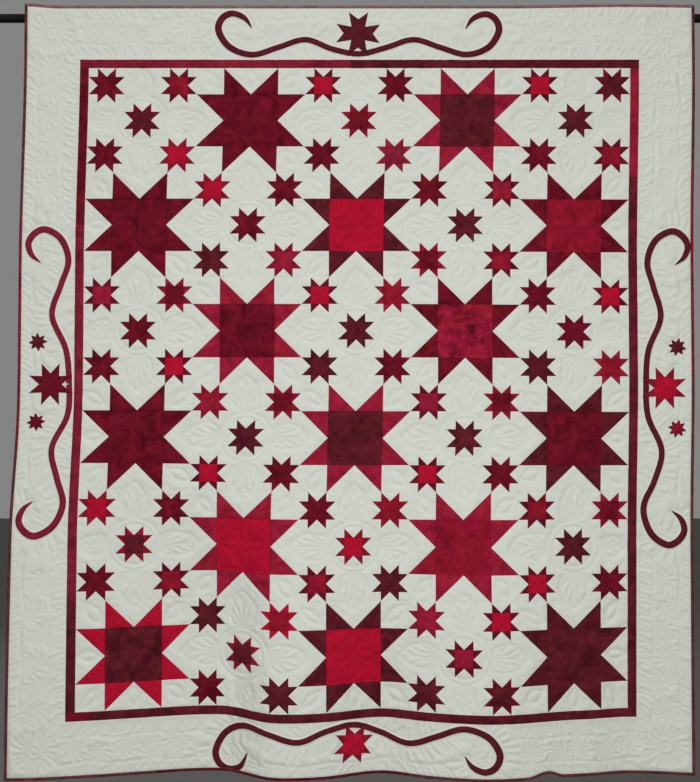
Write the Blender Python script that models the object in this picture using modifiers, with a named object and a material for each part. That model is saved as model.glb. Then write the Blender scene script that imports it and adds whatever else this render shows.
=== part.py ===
"""A pieced star quilt that hangs from a plain rod by a sleeve sewn to its back.

The quilt is laid out flat first: u runs across its face from the left edge, v runs down from the
top edge, and w stands off its back. hung() then carries each flat point to its place on the
hanging cloth, with its soft folds and uneven edges. Metres, +Z up, +X to the viewer's right, the
face towards -Y, and the origin on the rod's axis, midway along the rod.
"""
import bpy
import bmesh
from math import copysign, cos, hypot, pi, radians, sin
from mathutils import Matrix, Vector
from mathutils.bvhtree import BVHTree

# The quilt as it was sewn, lying flat
INCH = 0.0254
BLOCK = 12                                  # inches in a block's side
COLUMNS = 5
ROWS = 6
STRIP = 0.025                               # the narrow red strip round the blocks
BORDER = 0.150                              # the wide white border
BINDING = 0.009                             # the binding's width on the face
EDGE = STRIP + BORDER + BINDING             # from the quilt's edge to its blocks
WIDTH = COLUMNS * BLOCK * INCH + 2 * EDGE
HEIGHT = ROWS * BLOCK * INCH + 2 * EDGE

# How thick it is, from its back
SEAM = 0.005                                # where a seam or a quilted line holds it down
PUFF = 0.0025                               # how far the largest patches swell above their seams
PUFF_SIDE = 3 * INCH                        # a patch this wide swells the whole way
BINDING_BACK = -0.001                       # the binding wraps round the edge, front and back
BINDING_FACE = 0.0065
CLOTH = 0.0008                              # one layer of cloth, on an appliqued shape
GAP = 0.0003                                # between pieces that touch

# The rod and the sleeve that it runs through
ROD_RADIUS = 0.0125
ROD_BEYOND = 0.110                          # past each side of the quilt
ROD_SIDES = 24
TOP_ABOVE_ROD = 0.031                       # the quilt's top edge above the rod's axis
SLEEVE_WALL = 0.001
SLEEVE_INSET = 0.040                        # the sleeve stops short of each side
SLEEVE_DROP = 0.075                         # from the rod's axis to the sleeve's lower fold
SLEEVE_FOLD = 0.002                         # radius of that fold, on the inside
SLEEVE_FOLD_STEPS = 4
BACK_Y = -(ROD_RADIUS + GAP + SLEEVE_WALL + GAP)

# Quilting draws the cloth up: how much of its height is left, and what the top loses besides
HANG = 0.986
TOP_DRAWN_UP = 0.012
TOP_DRAWN_OVER = 1.0

# The lines that the solid is faceted on, in inches over the blocks
FOLD_STEP = 2                               # across the folds
LENGTH_STEP = 6                             # along them
MARGIN_LINES = 3                            # lines outside the blocks on each side

# Soft vertical folds. Each grows from nothing at start to its whole size at full, measured down
# the quilt: name, middle, reach to the left and right of it, forward, rise, start, full
FOLDS = (
    ("left swell",    0.02, 0.10, 0.33,  0.030, -0.005, 1.20, 2.10),
    ("left hollow",   0.56, 0.33, 0.17, -0.030,  0.007, 1.30, 1.80),
    ("middle swell",  0.76, 0.17, 0.28,  0.034, -0.004, 1.20, 2.00),
    ("middle hollow", 1.02, 0.16, 0.14, -0.018,  0.003, 1.70, 2.10),
    ("right swell",   1.32, 0.30, 0.29,  0.038, -0.006, 1.20, 2.00),
    ("hem pleat",     1.48, 0.06, 0.05,  0.000,  0.013, 2.04, 2.20),
    ("right hollow",  1.71, 0.14, 0.24, -0.018,  0.003, 1.40, 2.10),
)

# Where the cloth is drawn up or sags in its own plane: name, middle across and down, reach across
# and down, rise
LIFTS = (
    ("left side",   0.20, 1.43, 0.75, 0.45,  0.007),
    ("right side",  1.89, 0.85, 0.90, 0.60, -0.005),
    ("top right",   1.70, 0.00, 0.35, 0.15,  0.004),
    ("left corner", 0.00, 0.00, 0.10, 0.10,  0.006),
)

# Where the cloth drifts sideways on its way down: name, start, end, sideways, and how far from the
# left edge it is felt, which is 0 for the whole width
DRIFTS = (
    ("upper",      0.15, 0.75, -0.010, 0.00),
    ("lower",      1.05, 1.55, -0.008, 0.00),
    ("left flare", 1.15, 1.55, -0.010, 0.35),
)

# Appliqued scrolls, drawn from the middle to each end in their own along and out: name, cloth,
# middle across and down, unit vector along, unit vector out
SCROLLS = (
    ("scroll_top",    "wine",    WIDTH / 2, 0.1415,                  (1, 0), (0, -1)),
    ("scroll_bottom", "wine",    WIDTH / 2, HEIGHT - 0.143,          (1, 0), (0, 1)),
    ("scroll_left",   "crimson", 0.145, HEIGHT / 2 - 0.005,          (0, 1), (-1, 0)),
    ("scroll_right",  "wine",    WIDTH - 0.1365, HEIGHT / 2 - 0.005, (0, 1), (1, 0)),
)
# Half a scroll's waypoints: name, along and out on the top and bottom, along and out on the sides,
# and the cloth's half width there
SCROLL_WAY = (
    ("middle",    0.000, 0.000, 0.000, 0.000, 0.0086),
    ("rising",    0.075, 0.010, 0.095, 0.006, 0.0084),
    ("crest",     0.152, 0.043, 0.190, 0.044, 0.0084),
    ("falling",   0.228, 0.020, 0.275, 0.024, 0.0084),
    ("neck",      0.300, -0.001, 0.345, -0.001, 0.0088),
    ("heel",      0.362, 0.018, 0.404, 0.020, 0.0094),
    ("far side",  0.394, 0.064, 0.432, 0.064, 0.0098),
    ("bend",      0.386, 0.100, 0.424, 0.095, 0.0098),
    ("crown",     0.357, 0.116, 0.394, 0.115, 0.0092),
    ("inner",     0.322, 0.103, 0.360, 0.106, 0.0074),
    ("tip",       0.301, 0.074, 0.337, 0.080, 0.0012),
)
# No two ends are alike. Each end's changes: how much further out its rise, crest, fall and neck
# are, how much further along and out its hook is, and how much further out its tip is
SCROLL_ENDS = {
    "scroll_top": (
        (0.003, -0.002, -0.001, -0.002, 0.003, 0.001, 0.000),
        (0.008, -0.002, -0.002, -0.001, -0.002, -0.001, 0.000)),
    "scroll_bottom": (
        (0.000, -0.006, -0.002, 0.002, -0.012, 0.018, -0.013),
        (0.016, 0.008, 0.005, 0.000, 0.005, -0.001, 0.000)),
    "scroll_left": (
        (0.004, 0.005, 0.002, 0.005, 0.006, 0.002, 0.000),
        (-0.004, -0.003, -0.002, 0.002, 0.004, 0.003, 0.000)),
    "scroll_right": (
        (0.001, -0.002, -0.001, 0.006, 0.004, 0.004, 0.000),
        (0.000, 0.001, 0.003, -0.001, 0.025, -0.005, 0.000)),
}
HOOK_START = 3                              # the waypoint from which the hook's changes grow
HOOK_STEPS = 3                              # and over how many waypoints
SCROLL_STEPS = 3                            # facets from one waypoint to the next
UNDER_BINDING = 0.0006                      # how far short of the binding a scroll is cut off

# Appliqued stars: name, cloth, middle across and down, width, turn in degrees, and in quarters of
# the width, how far from its middle lines its points end, its inner corners lie, and its notches
# are. A star near a scroll lies over it
BORDER_STARS = (
    ("star_top",         "wine",    WIDTH / 2 - 0.004, 0.082,          0.122,   1, 0.88, 0.63, 1.34),
    ("star_bottom",      "crimson", WIDTH / 2 - 0.001, HEIGHT - 0.089, 0.103,   6, 1.00, 0.98, 1.12),
    ("star_left",        "wine",    0.093, HEIGHT / 2 + 0.001,         0.119,   0, 0.84, 0.80, 1.06),
    ("star_right",       "crimson", WIDTH - 0.084, HEIGHT / 2 + 0.007, 0.118,   0, 0.88, 0.84, 1.04),
    ("star_left_upper",  "wine",    0.057, HEIGHT / 2 - 0.120,         0.051,  20, 0.90, 0.90, 1.15),
    ("star_left_lower",  "wine",    0.056, HEIGHT / 2 + 0.110,         0.051,  20, 0.90, 0.90, 1.15),
    ("star_right_upper", "wine",    WIDTH - 0.049, HEIGHT / 2 - 0.110, 0.051, -12, 0.90, 0.90, 1.15),
    ("star_right_lower", "wine",    WIDTH - 0.049, HEIGHT / 2 + 0.124, 0.051, -12, 0.90, 0.90, 1.15),
)
SMALL_STAR = 0.060                          # stars narrower than this have blunter points
BLUNT = 0.80                                # how much of a point's length they keep
SETTLED = 0.0004                            # the gap behind an appliqued shape, straight back
SETTLE_ROUNDS = 3                           # how often its seat is corrected
SETTLE_CUTS = 5                             # where its edges are tested between their ends
AHEAD = Vector((0.0, 0.05, 0.0))            # it is tested from so far in front, looking back

# Colours: linear red, green and blue
COLOURS = {
    "white": (0.60, 0.60, 0.54),
    "wine": (0.075, 0.006, 0.014),
    "crimson": (0.26, 0.010, 0.030),
    "backing": (0.52, 0.50, 0.43),
    "black": (0.012, 0.012, 0.013),
}
CLOTH_ROUGHNESS = 0.9
PAINT_ROUGHNESS = 0.45

# A star block's seams, in units of a quarter of its side: each point's slanting seam
STAR_SLANTS = (
    ((1, 0), (2, 1)), ((3, 0), (2, 1)), ((1, 4), (2, 3)), ((3, 4), (2, 3)),
    ((0, 1), (1, 2)), ((0, 3), (1, 2)), ((4, 1), (3, 2)), ((4, 3), (3, 2)),
)
STAR_UNITS = 4
PATCHES = 3                                 # a block of small stars has so many patches a side
SMALL_STARS = ((0, 0), (2, 0), (1, 1), (0, 2), (2, 2))    # the patches that hold them
FLAT_PATCH = 1.5 * INCH * INCH              # square patches below this don't swell
PROBE = 0.001                               # how far apart a slope is measured


def ease(t):
    """0 before 0, 1 after 1, and a smooth rise between."""
    t = max(0.0, min(1.0, t))
    return t * t * (3 - 2 * t)


def swell(place, middle, before, after):
    """A smooth hump: 1 at its middle, 0 past its reach on either side."""
    reach = before if place < middle else after
    t = (place - middle) / reach
    return 0.5 * (1 + cos(pi * t)) if abs(t) < 1 else 0.0


def on_sheet(u, v):
    """The point of the quilt's back that lies at u, v when it hangs."""
    forward = 0.0
    rise = 0.0
    for _, middle, left, right, depth, lift, start, full in FOLDS:
        grown = ease((v - start) / (full - start)) * swell(u, middle, left, right)
        forward += depth * grown
        rise += lift * grown
    for _, across, down, reach_across, reach_down, lift in LIFTS:
        lifted = swell(u, across, reach_across, reach_across) * swell(v, down, reach_down, reach_down)
        rise += lift * lifted
    sideways = 0.0
    for _, start, end, shift, felt in DRIFTS:
        share = 1 - ease(u / felt) if felt else 1.0
        sideways += shift * share * ease((v - start) / (end - start))
    drop = v * HANG - TOP_DRAWN_UP * ease(v / TOP_DRAWN_OVER)
    return Vector((u - WIDTH / 2 + sideways, BACK_Y - forward, TOP_ABOVE_ROD - drop + rise))


def hung(flat):
    """A flat point, u, v and w, on the hanging quilt."""
    u, v, w = flat
    across = on_sheet(u + PROBE, v) - on_sheet(u - PROBE, v)
    down = on_sheet(u, v + PROBE) - on_sheet(u, v - PROBE)
    outward = down.cross(across).normalized()
    if outward.y > 0:
        outward = -outward
    return on_sheet(u, v) + outward * w


def material(name, colour, roughness, metallic=0.0):
    """A plain finish of the object's own."""
    finish = bpy.data.materials.new(name)
    finish.use_nodes = True
    shader = finish.node_tree.nodes["Principled BSDF"]
    shader.inputs["Base Color"].default_value = (*COLOURS[colour], 1.0)
    shader.inputs["Roughness"].default_value = roughness
    shader.inputs["Metallic"].default_value = metallic
    return finish


def add_object(collection, name, bm, finish):
    """Turns a finished bmesh into one named object. A closed one has its faces turned outwards."""
    if all(edge.is_manifold for edge in bm.edges):
        bmesh.ops.recalc_face_normals(bm, faces=bm.faces)
        if bm.calc_volume(signed=True) < 0:
            bmesh.ops.reverse_faces(bm, faces=bm.faces)
    mesh = bpy.data.meshes.new(name)
    bm.to_mesh(mesh)
    bm.free()
    mesh.materials.append(finish)
    made = bpy.data.objects.new(name, mesh)
    collection.objects.link(made)
    return made


def hang_all(bm):
    """Carries every flat point of a bmesh to the hanging quilt."""
    for vert in bm.verts:
        vert.co = hung(vert.co)


def lines_along(blocks, step=1):
    """The places of the grid's lines from one edge of the cloth to the other."""
    margin = [BINDING + GAP / 2, BINDING + BORDER / 2, BINDING + BORDER]
    length = blocks * BLOCK * INCH + 2 * EDGE
    field = [EDGE + inch * INCH for inch in range(0, blocks * BLOCK + 1, step)]
    return margin + field + [length - place for place in reversed(margin)]


def grid_of(bm, across, down, level):
    """A sheet with its points on the given lines, as a table of its points by line numbers."""
    columns = len(across) - 1
    rows = len(down) - 1
    made = bmesh.ops.create_grid(bm, x_segments=columns, y_segments=rows, size=1)
    table = {}
    for vert in made["verts"]:
        i = round((vert.co.x + 1) / 2 * columns)
        j = round((vert.co.y + 1) / 2 * rows)
        vert.co = (across[i], down[j], level)
        table[i, j] = vert
    return table


def is_large(column, row):
    """Large star blocks and blocks of five small stars take turns."""
    return (column + row) % 2 == 1


def has_seam(line, cell, line_blocks, down_the_quilt):
    """Whether the grid's line keeps its edge beside this cell, with both in whole inches."""
    if line % BLOCK == 0 or line in (0, line_blocks * BLOCK):
        return True
    place = (line, cell) if down_the_quilt else (cell, line)
    if is_large(place[0] // BLOCK, place[1] // BLOCK):
        return line % (BLOCK // STAR_UNITS) == 0
    patch = BLOCK // PATCHES
    if line % patch == 0:
        return True
    return (line % BLOCK // patch + cell % BLOCK // patch) % 2 == 0


def keeps_edge(line, cell, line_blocks, cell_blocks, down_the_quilt):
    """Whether the solid keeps the edge on this line of the grid, beside this cell."""
    inch_line = line - MARGIN_LINES
    inch_cell = cell - MARGIN_LINES
    line_in_field = 0 <= inch_line <= line_blocks * BLOCK
    cell_in_field = 0 <= inch_cell < cell_blocks * BLOCK
    if line_in_field and cell_in_field:
        return has_seam(inch_line, inch_cell, line_blocks, down_the_quilt)
    if line_in_field:
        return inch_line % (FOLD_STEP if down_the_quilt else LENGTH_STEP) == 0
    return True


def star_places():
    """Each star in the blocks: its corner across and down, and its unit, in inches."""
    places = []
    for column in range(COLUMNS):
        for row in range(ROWS):
            left, top = column * BLOCK, row * BLOCK
            if is_large(column, row):
                places.append((left, top, BLOCK // STAR_UNITS))
                continue
            patch = BLOCK // PATCHES
            for across, down in SMALL_STARS:
                places.append((left + across * patch, top + down * patch, patch // STAR_UNITS))
    return places


def edge_between(first, second):
    """The edge that joins two points, or none."""
    for edge in first.link_edges:
        if edge.other_vert(first) is second:
            return edge
    return None


def quilted_face(bm):
    """The quilt's face: every patch between its seams, swelling in its middle."""
    across = lines_along(COLUMNS)
    down = lines_along(ROWS)
    table = grid_of(bm, across, down, SEAM)
    loose = []
    for (i, j), vert in table.items():
        right = table.get((i + 1, j))
        if right and not keeps_edge(j, i, ROWS, COLUMNS, False):
            loose.append(edge_between(vert, right))
        below = table.get((i, j + 1))
        if below and not keeps_edge(i, j, COLUMNS, ROWS, True):
            loose.append(edge_between(vert, below))
    bmesh.ops.dissolve_edges(bm, edges=loose, use_verts=True)

    def corner(left, top, unit, point):
        return table[MARGIN_LINES + left + point[0] * unit, MARGIN_LINES + top + point[1] * unit]

    for left, top, unit in star_places():
        for start, end in STAR_SLANTS:
            ends = [corner(left, top, unit, point) for point in (start, end)]
            bmesh.ops.connect_verts(bm, verts=ends)
    # What is left of each star's middle lines isn't a seam
    middle = STAR_UNITS // 2
    crossing = []
    for left, top, unit in star_places():
        for n in range(STAR_UNITS):
            for start, end in (((middle, n), (middle, n + 1)), ((n, middle), (n + 1, middle))):
                ends = [corner(left, top, unit, point) for point in (start, end)]
                crossing.append(edge_between(*ends))
    bmesh.ops.dissolve_edges(bm, edges=[edge for edge in crossing if edge], use_verts=True)

    swelling = {}
    for face in bm.faces:
        flat_square = len(face.verts) == 4 and face.calc_area() < FLAT_PATCH
        if not flat_square:
            swelling[face] = min(1.0, face.calc_area() ** 0.5 / PUFF_SIDE)
    heights = list(swelling.values())
    poked = bmesh.ops.poke(bm, faces=list(swelling), center_mode="MEAN_WEIGHTED")
    for vert, height in zip(poked["verts"], heights):
        vert.co.z = SEAM + PUFF * height


def rim(bm, level):
    """The open edges of the sheet at this level."""
    return [edge for edge in bm.edges
            if edge.is_boundary and all(abs(vert.co.z - level) < GAP for vert in edge.verts)]


def make_quilt(collection):
    """The quilted cloth, face, back and edge, as one solid."""
    bm = bmesh.new()
    quilted_face(bm)
    columns = lines_along(COLUMNS, FOLD_STEP)
    rows = lines_along(ROWS, LENGTH_STEP)
    grid_of(bm, columns, rows, 0.0)
    bmesh.ops.bridge_loops(bm, edges=rim(bm, SEAM) + rim(bm, 0.0))
    bmesh.ops.triangulate(bm, faces=bm.faces)
    hang_all(bm)
    return add_object(collection, "quilt", bm, material("quilted cotton", "white", CLOTH_ROUGHNESS))


def slab(bm, level, thickness):
    """Gives a flat sheet at this level its thickness, away from the quilt's back."""
    for vert in bm.verts:
        vert.co.z = level
    raised = bmesh.ops.extrude_face_region(bm, geom=bm.faces[:])
    for item in raised["geom"]:
        if isinstance(item, bmesh.types.BMVert):
            item.co.z = level + thickness
    bmesh.ops.triangulate(bm, faces=bm.faces)


def make_binding(collection, name, lines, place, finish):
    """One side's binding, mitred at its ends. place turns along and in into u and v."""
    bm = bmesh.new()
    along = [0.0] + lines[1:-1] + [lines[-1] + lines[0]]
    inner = BINDING - GAP / 2
    table = grid_of(bm, along, [0.0, inner], 0.0)
    last = len(along) - 1
    for side, depth in ((0, 0.0), (1, inner)):
        table[0, side].co.x = depth + GAP
        table[last, side].co.x = along[last] - depth - GAP
    for vert in bm.verts:
        vert.co.x, vert.co.y = place(vert.co.x, vert.co.y)
    slab(bm, BINDING_BACK, BINDING_FACE - BINDING_BACK)
    hang_all(bm)
    add_object(collection, name, bm, finish)


def make_bindings(collection):
    """The narrow red cloth that finishes the four edges."""
    finish = material("binding cotton", "crimson", CLOTH_ROUGHNESS)
    columns = lines_along(COLUMNS, FOLD_STEP)
    rows = lines_along(ROWS, LENGTH_STEP)
    sides = (
        ("binding_top", columns, lambda along, depth: (along, depth)),
        ("binding_bottom", columns, lambda along, depth: (along, HEIGHT - depth)),
        ("binding_left", rows, lambda along, depth: (depth, along)),
        ("binding_right", rows, lambda along, depth: (WIDTH - depth, along)),
    )
    for name, lines, place in sides:
        make_binding(collection, name, lines, place, finish)


def smooth_way(points, steps):
    """A smooth curve through the points, each a tuple of any length."""
    way = []
    for n in range(len(points) - 1):
        before = points[max(n - 1, 0)]
        start, end = points[n], points[n + 1]
        after = points[min(n + 2, len(points) - 1)]
        for step in range(steps):
            t = step / steps
            way.append(tuple(
                0.5 * (2 * b + (c - a) * t + (2 * a - 5 * b + 4 * c - d) * t ** 2
                       + (3 * b - a - 3 * c + d) * t ** 3)
                for a, b, c, d in zip(before, start, end, after)))
    way.append(tuple(points[-1]))
    return way


def scroll_half(upright, end):
    """The waypoints from a scroll's middle to one of its ends, with that end's changes."""
    rising, crest, falling, neck, hook_along, hook_out, tip = end
    further = {
        "rising": rising, "crest": crest, "falling": falling, "neck": neck, "heel": neck / 2, "tip": tip,
    }
    half = []
    for n, row in enumerate(SCROLL_WAY):
        along, out = row[3:5] if upright else row[1:3]
        on_hook = ease((n - HOOK_START) / HOOK_STEPS)
        half.append((along + hook_along * on_hook,
                     out + hook_out * on_hook + further.get(row[0], 0.0), row[5]))
    return half


def scroll_way(name, upright):
    """The whole scroll, tip to tip: along, out and half width."""
    first, second = (scroll_half(upright, end) for end in SCROLL_ENDS[name])
    other = [(-along, out, width) for along, out, width in reversed(first[1:])]
    return smooth_way(other + second, SCROLL_STEPS)


def tree_of(made):
    """The surface of a finished object, to measure gaps from."""
    mesh = made.data
    return BVHTree.FromPolygons([vert.co for vert in mesh.vertices],
                                [face.vertices[:] for face in mesh.polygons])


def clearance(sheet, level, trees):
    """How far in front of these solids a flat sheet stays when it hangs at this level."""
    trial = sheet.copy()
    for vert in trial.verts:
        vert.co = hung((vert.co.x, vert.co.y, level))
    bmesh.ops.subdivide_edges(trial, edges=trial.edges[:], cuts=SETTLE_CUTS, use_grid_fill=True)
    gaps = []
    for tree in trees:
        for vert in trial.verts:
            distance = tree.ray_cast(vert.co - AHEAD, AHEAD)[3]
            if distance is not None:
                gaps.append(distance - AHEAD.length)
    trial.free()
    return min(gaps)


def applique(collection, name, bm, finish, trees):
    """Lays a flat sheet down on the cloth under it, with only the usual gap, and hangs it."""
    level = SEAM + PUFF
    for _ in range(SETTLE_ROUNDS):
        level += SETTLED - clearance(bm, level, trees)
    slab(bm, level, CLOTH)
    hang_all(bm)
    return add_object(collection, name, bm, finish)


def make_scroll(collection, row, finish, quilt_tree):
    """One appliqued scroll: a long strip of cloth, widest at its hooks and pointed at its ends."""
    name, _, middle_u, middle_v, along_axis, out_axis = row
    way = scroll_way(name, along_axis[1] == 1)
    cut_off = HEIGHT - BINDING - UNDER_BINDING
    bm = bmesh.new()
    count = len(way) - 1
    table = grid_of(bm, [float(n) for n in range(count + 1)], [0.0, 1.0], 0.0)
    for n, (along, out, width) in enumerate(way):
        before = way[max(n - 1, 0)]
        after = way[min(n + 1, count)]
        run, climb = after[0] - before[0], after[1] - before[1]
        length = hypot(run, climb)
        for side, sign in ((0, -1), (1, 1)):
            a = along - sign * width * climb / length
            b = out + sign * width * run / length
            table[n, side].co.x = middle_u + a * along_axis[0] + b * out_axis[0]
            table[n, side].co.y = min(middle_v + a * along_axis[1] + b * out_axis[1], cut_off)
    return applique(collection, name, bm, finish, [quilt_tree])


def shaped(x, y, tip, corner, notch):
    """A plain star's place, in quarters of its width, moved to this star's own outline."""
    near, far = sorted((abs(x), abs(y)))
    past = max(far - 1, 0)
    new_near = (near - past) * corner + past * tip
    new_far = (near - past) * corner + (min(far, 1) - near) * notch + past * 2
    if abs(x) >= abs(y):
        return copysign(new_far, x), copysign(new_near, y)
    return copysign(new_near, x), copysign(new_far, y)


def make_star(collection, row, finish, trees):
    """One appliqued star: a square with two points on each side."""
    name, _, u, v, width, turn, tip, corner, notch = row
    bm = bmesh.new()
    lines = [float(n) for n in range(STAR_UNITS + 1)]
    table = grid_of(bm, lines, lines, 0.0)
    for start, end in STAR_SLANTS:
        bmesh.ops.connect_verts(bm, verts=[table[start], table[end]])
    middle = STAR_UNITS / 2
    open_faces = []
    for face in bm.faces:
        centre = face.calc_center_median()
        reach = sorted((abs(centre.x - middle), abs(centre.y - middle)))
        in_square = reach[1] < 1
        in_point = reach[1] > 1 and reach[0] > reach[1] - 1 and reach[0] < 1
        if not in_square and not in_point:
            open_faces.append(face)
    bmesh.ops.delete(bm, geom=open_faces, context="FACES")
    unit = width / STAR_UNITS
    farthest = 1 + (BLUNT if width < SMALL_STAR else 1.0)
    angle = radians(turn)
    for vert in bm.verts:
        x, y = shaped(vert.co.x - middle, vert.co.y - middle, tip, corner, notch)
        x = max(-farthest, min(farthest, x))
        y = max(-farthest, min(farthest, y))
        vert.co.x = u + unit * (x * cos(angle) - y * sin(angle))
        vert.co.y = v + unit * (x * sin(angle) + y * cos(angle))
    return applique(collection, name, bm, finish, trees)


def make_appliques(collection, quilt):
    """The scrolls and stars that are sewn on the white border."""
    finishes = {name: material(name + " cotton", name, CLOTH_ROUGHNESS) for name in ("wine", "crimson")}
    trees = [tree_of(quilt)]
    for row in SCROLLS:
        trees.append(tree_of(make_scroll(collection, row, finishes[row[1]], trees[0])))
    for row in BORDER_STARS:
        make_star(collection, row, finishes[row[1]], trees)


def make_sleeve(collection):
    """The cloth tube behind the top edge that the rod runs through."""
    inside = ROD_RADIUS + GAP
    half_turn = ROD_SIDES // 2
    outline = []
    for n in range(half_turn + 2):
        angle = pi - pi * n / half_turn
        outline.append((inside * cos(angle), inside * sin(angle)))
    fold_y = -inside + SLEEVE_FOLD
    fold_z = SLEEVE_FOLD - SLEEVE_DROP
    for n in range(SLEEVE_FOLD_STEPS + 1):
        angle = -pi * n / SLEEVE_FOLD_STEPS
        outline.append((fold_y + SLEEVE_FOLD * cos(angle), fold_z + SLEEVE_FOLD * sin(angle)))
    half = WIDTH / 2 - SLEEVE_INSET
    bm = bmesh.new()
    ring = [bm.verts.new((-half, y, z)) for y, z in outline]
    edges = [bm.edges.new((ring[n], ring[(n + 1) % len(ring)])) for n in range(len(ring))]
    drawn = bmesh.ops.extrude_edge_only(bm, edges=edges)
    for item in drawn["geom"]:
        if isinstance(item, bmesh.types.BMVert):
            item.co.x = half
    # The wall grows outwards, so its front has to face forward
    bmesh.ops.recalc_face_normals(bm, faces=bm.faces)
    front = min(bm.faces, key=lambda face: face.calc_center_median().y)
    if front.normal.y > 0:
        bmesh.ops.reverse_faces(bm, faces=bm.faces)
    sleeve = add_object(collection, "sleeve", bm, material("sleeve cotton", "backing", CLOTH_ROUGHNESS))
    wall = sleeve.modifiers.new("wall", "SOLIDIFY")
    wall.thickness = SLEEVE_WALL
    wall.offset = 1.0
    wall.use_even_offset = True


def make_rod(collection):
    """The plain black rod, square at both ends."""
    length = WIDTH + 2 * ROD_BEYOND
    bpy.ops.mesh.primitive_cylinder_add(vertices=ROD_SIDES, radius=ROD_RADIUS, depth=length)
    rod = bpy.context.object
    rod.name = "rod"
    rod.data.name = "rod"
    rod.data.transform(Matrix.Rotation(pi / 2, 4, "Y"))
    rod.data.shade_smooth()
    rod.data.set_sharp_from_angle(angle=pi / 4)
    rod.data.materials.append(material("black paint", "black", PAINT_ROUGHNESS))
    for home in rod.users_collection:
        home.objects.unlink(rod)
    collection.objects.link(rod)


def main():
    for old in list(bpy.data.objects):
        bpy.data.objects.remove(old, do_unlink=True)
    collection = bpy.data.collections.new("star quilt on a rod")
    bpy.context.scene.collection.children.link(collection)
    make_rod(collection)
    make_sleeve(collection)
    quilt = make_quilt(collection)
    make_bindings(collection)
    make_appliques(collection, quilt)


main()
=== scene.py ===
"""Dresses the star quilt on its rod: the pieced blocks, borders, binding, applique and quilting.

The quilt is laid out flat first: u runs across its face from the left edge, v runs down from the
top edge, and w stands off its back. hung() then carries each flat point to its place on the
hanging cloth. Metres, +Z up, and the quilt's face towards -Y.
"""
import functools
from math import atan2, cos, hypot, pi, radians, sin

import bmesh
import bpy
import numpy as np
from mathutils import Euler, Matrix, Vector
from mathutils.kdtree import KDTree


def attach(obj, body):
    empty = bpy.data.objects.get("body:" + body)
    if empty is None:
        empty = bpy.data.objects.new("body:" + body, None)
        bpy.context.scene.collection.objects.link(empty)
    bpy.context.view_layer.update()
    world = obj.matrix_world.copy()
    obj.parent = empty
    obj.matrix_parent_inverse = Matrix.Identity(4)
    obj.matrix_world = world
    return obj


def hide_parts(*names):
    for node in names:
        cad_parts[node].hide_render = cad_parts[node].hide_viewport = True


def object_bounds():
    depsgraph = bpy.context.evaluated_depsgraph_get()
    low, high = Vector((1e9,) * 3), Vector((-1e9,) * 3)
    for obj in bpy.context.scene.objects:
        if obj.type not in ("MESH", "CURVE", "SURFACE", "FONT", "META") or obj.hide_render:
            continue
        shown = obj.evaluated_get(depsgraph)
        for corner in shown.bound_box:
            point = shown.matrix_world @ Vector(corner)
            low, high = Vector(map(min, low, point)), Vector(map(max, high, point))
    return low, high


bl_info = {
    "name": "Star quilt on a rod",
    "version": (1, 0, 0),
    "blender": (4, 5, 0),
    "location": "View3D > Sidebar > Quilt",
    "description": "A pieced and quilted star quilt that hangs from a plain rod",
    "category": "Object",
}

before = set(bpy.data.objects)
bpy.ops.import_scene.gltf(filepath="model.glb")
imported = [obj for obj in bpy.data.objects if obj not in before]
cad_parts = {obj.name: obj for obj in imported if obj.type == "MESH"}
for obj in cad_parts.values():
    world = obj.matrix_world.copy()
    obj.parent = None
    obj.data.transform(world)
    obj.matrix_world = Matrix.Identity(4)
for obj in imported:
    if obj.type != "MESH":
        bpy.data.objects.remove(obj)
PACKED_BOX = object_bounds()

# The quilt as it was sewn, lying flat
INCH = 0.0254
BLOCK = 12                                  # inches in a block's side
COLUMNS = 5
ROWS = 6
STRIP = 0.025                               # the narrow red strip round the blocks
BORDER = 0.150                              # the wide white border
BINDING = 0.009                             # the binding's width on the face
EDGE = STRIP + BORDER + BINDING             # from the quilt's edge to its blocks
WIDTH = COLUMNS * BLOCK * INCH + 2 * EDGE
HEIGHT = ROWS * BLOCK * INCH + 2 * EDGE
FIELD_RIGHT = WIDTH - EDGE
FIELD_FOOT = HEIGHT - EDGE
HALF_BLOCK = BLOCK * INCH / 2

# The rod and the sleeve that it runs through
ROD_RADIUS = 0.0125
ROD_BEYOND = 0.110
GAP = 0.0003
SLEEVE_WALL = 0.001
SLEEVE_INSET = 0.040
SLEEVE_DROP = 0.075
SLEEVE_FOLD = 0.002
SLEEVE_INSIDE = ROD_RADIUS + GAP            # from the rod's middle to the sleeve
SLEEVE_BULGE = 0.0012                       # how far its back bows out on the way down
SLEEVE_WAVES = ((0.0006, 0.23, 0), (0.0004, 0.083, 2))   # each one's height, length and start
SLEEVE_STEPS = 150                          # faces along it
ROUND_STEPS = 24                            # and over the rod, down its back, and round its fold
SLOPE_STEPS = 12
FOLD_STEPS = 8
ROD_FACETS = 64
ROD_BEVEL = 0.0008
TOP_ABOVE_ROD = 0.031
BACK_Y = -(ROD_RADIUS + GAP + SLEEVE_WALL + GAP)

# Quilting draws the cloth up: how much of its height is left, and what the top loses besides
HANG = 0.986
TOP_DRAWN_UP = 0.012
TOP_DRAWN_OVER = 1.0

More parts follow.
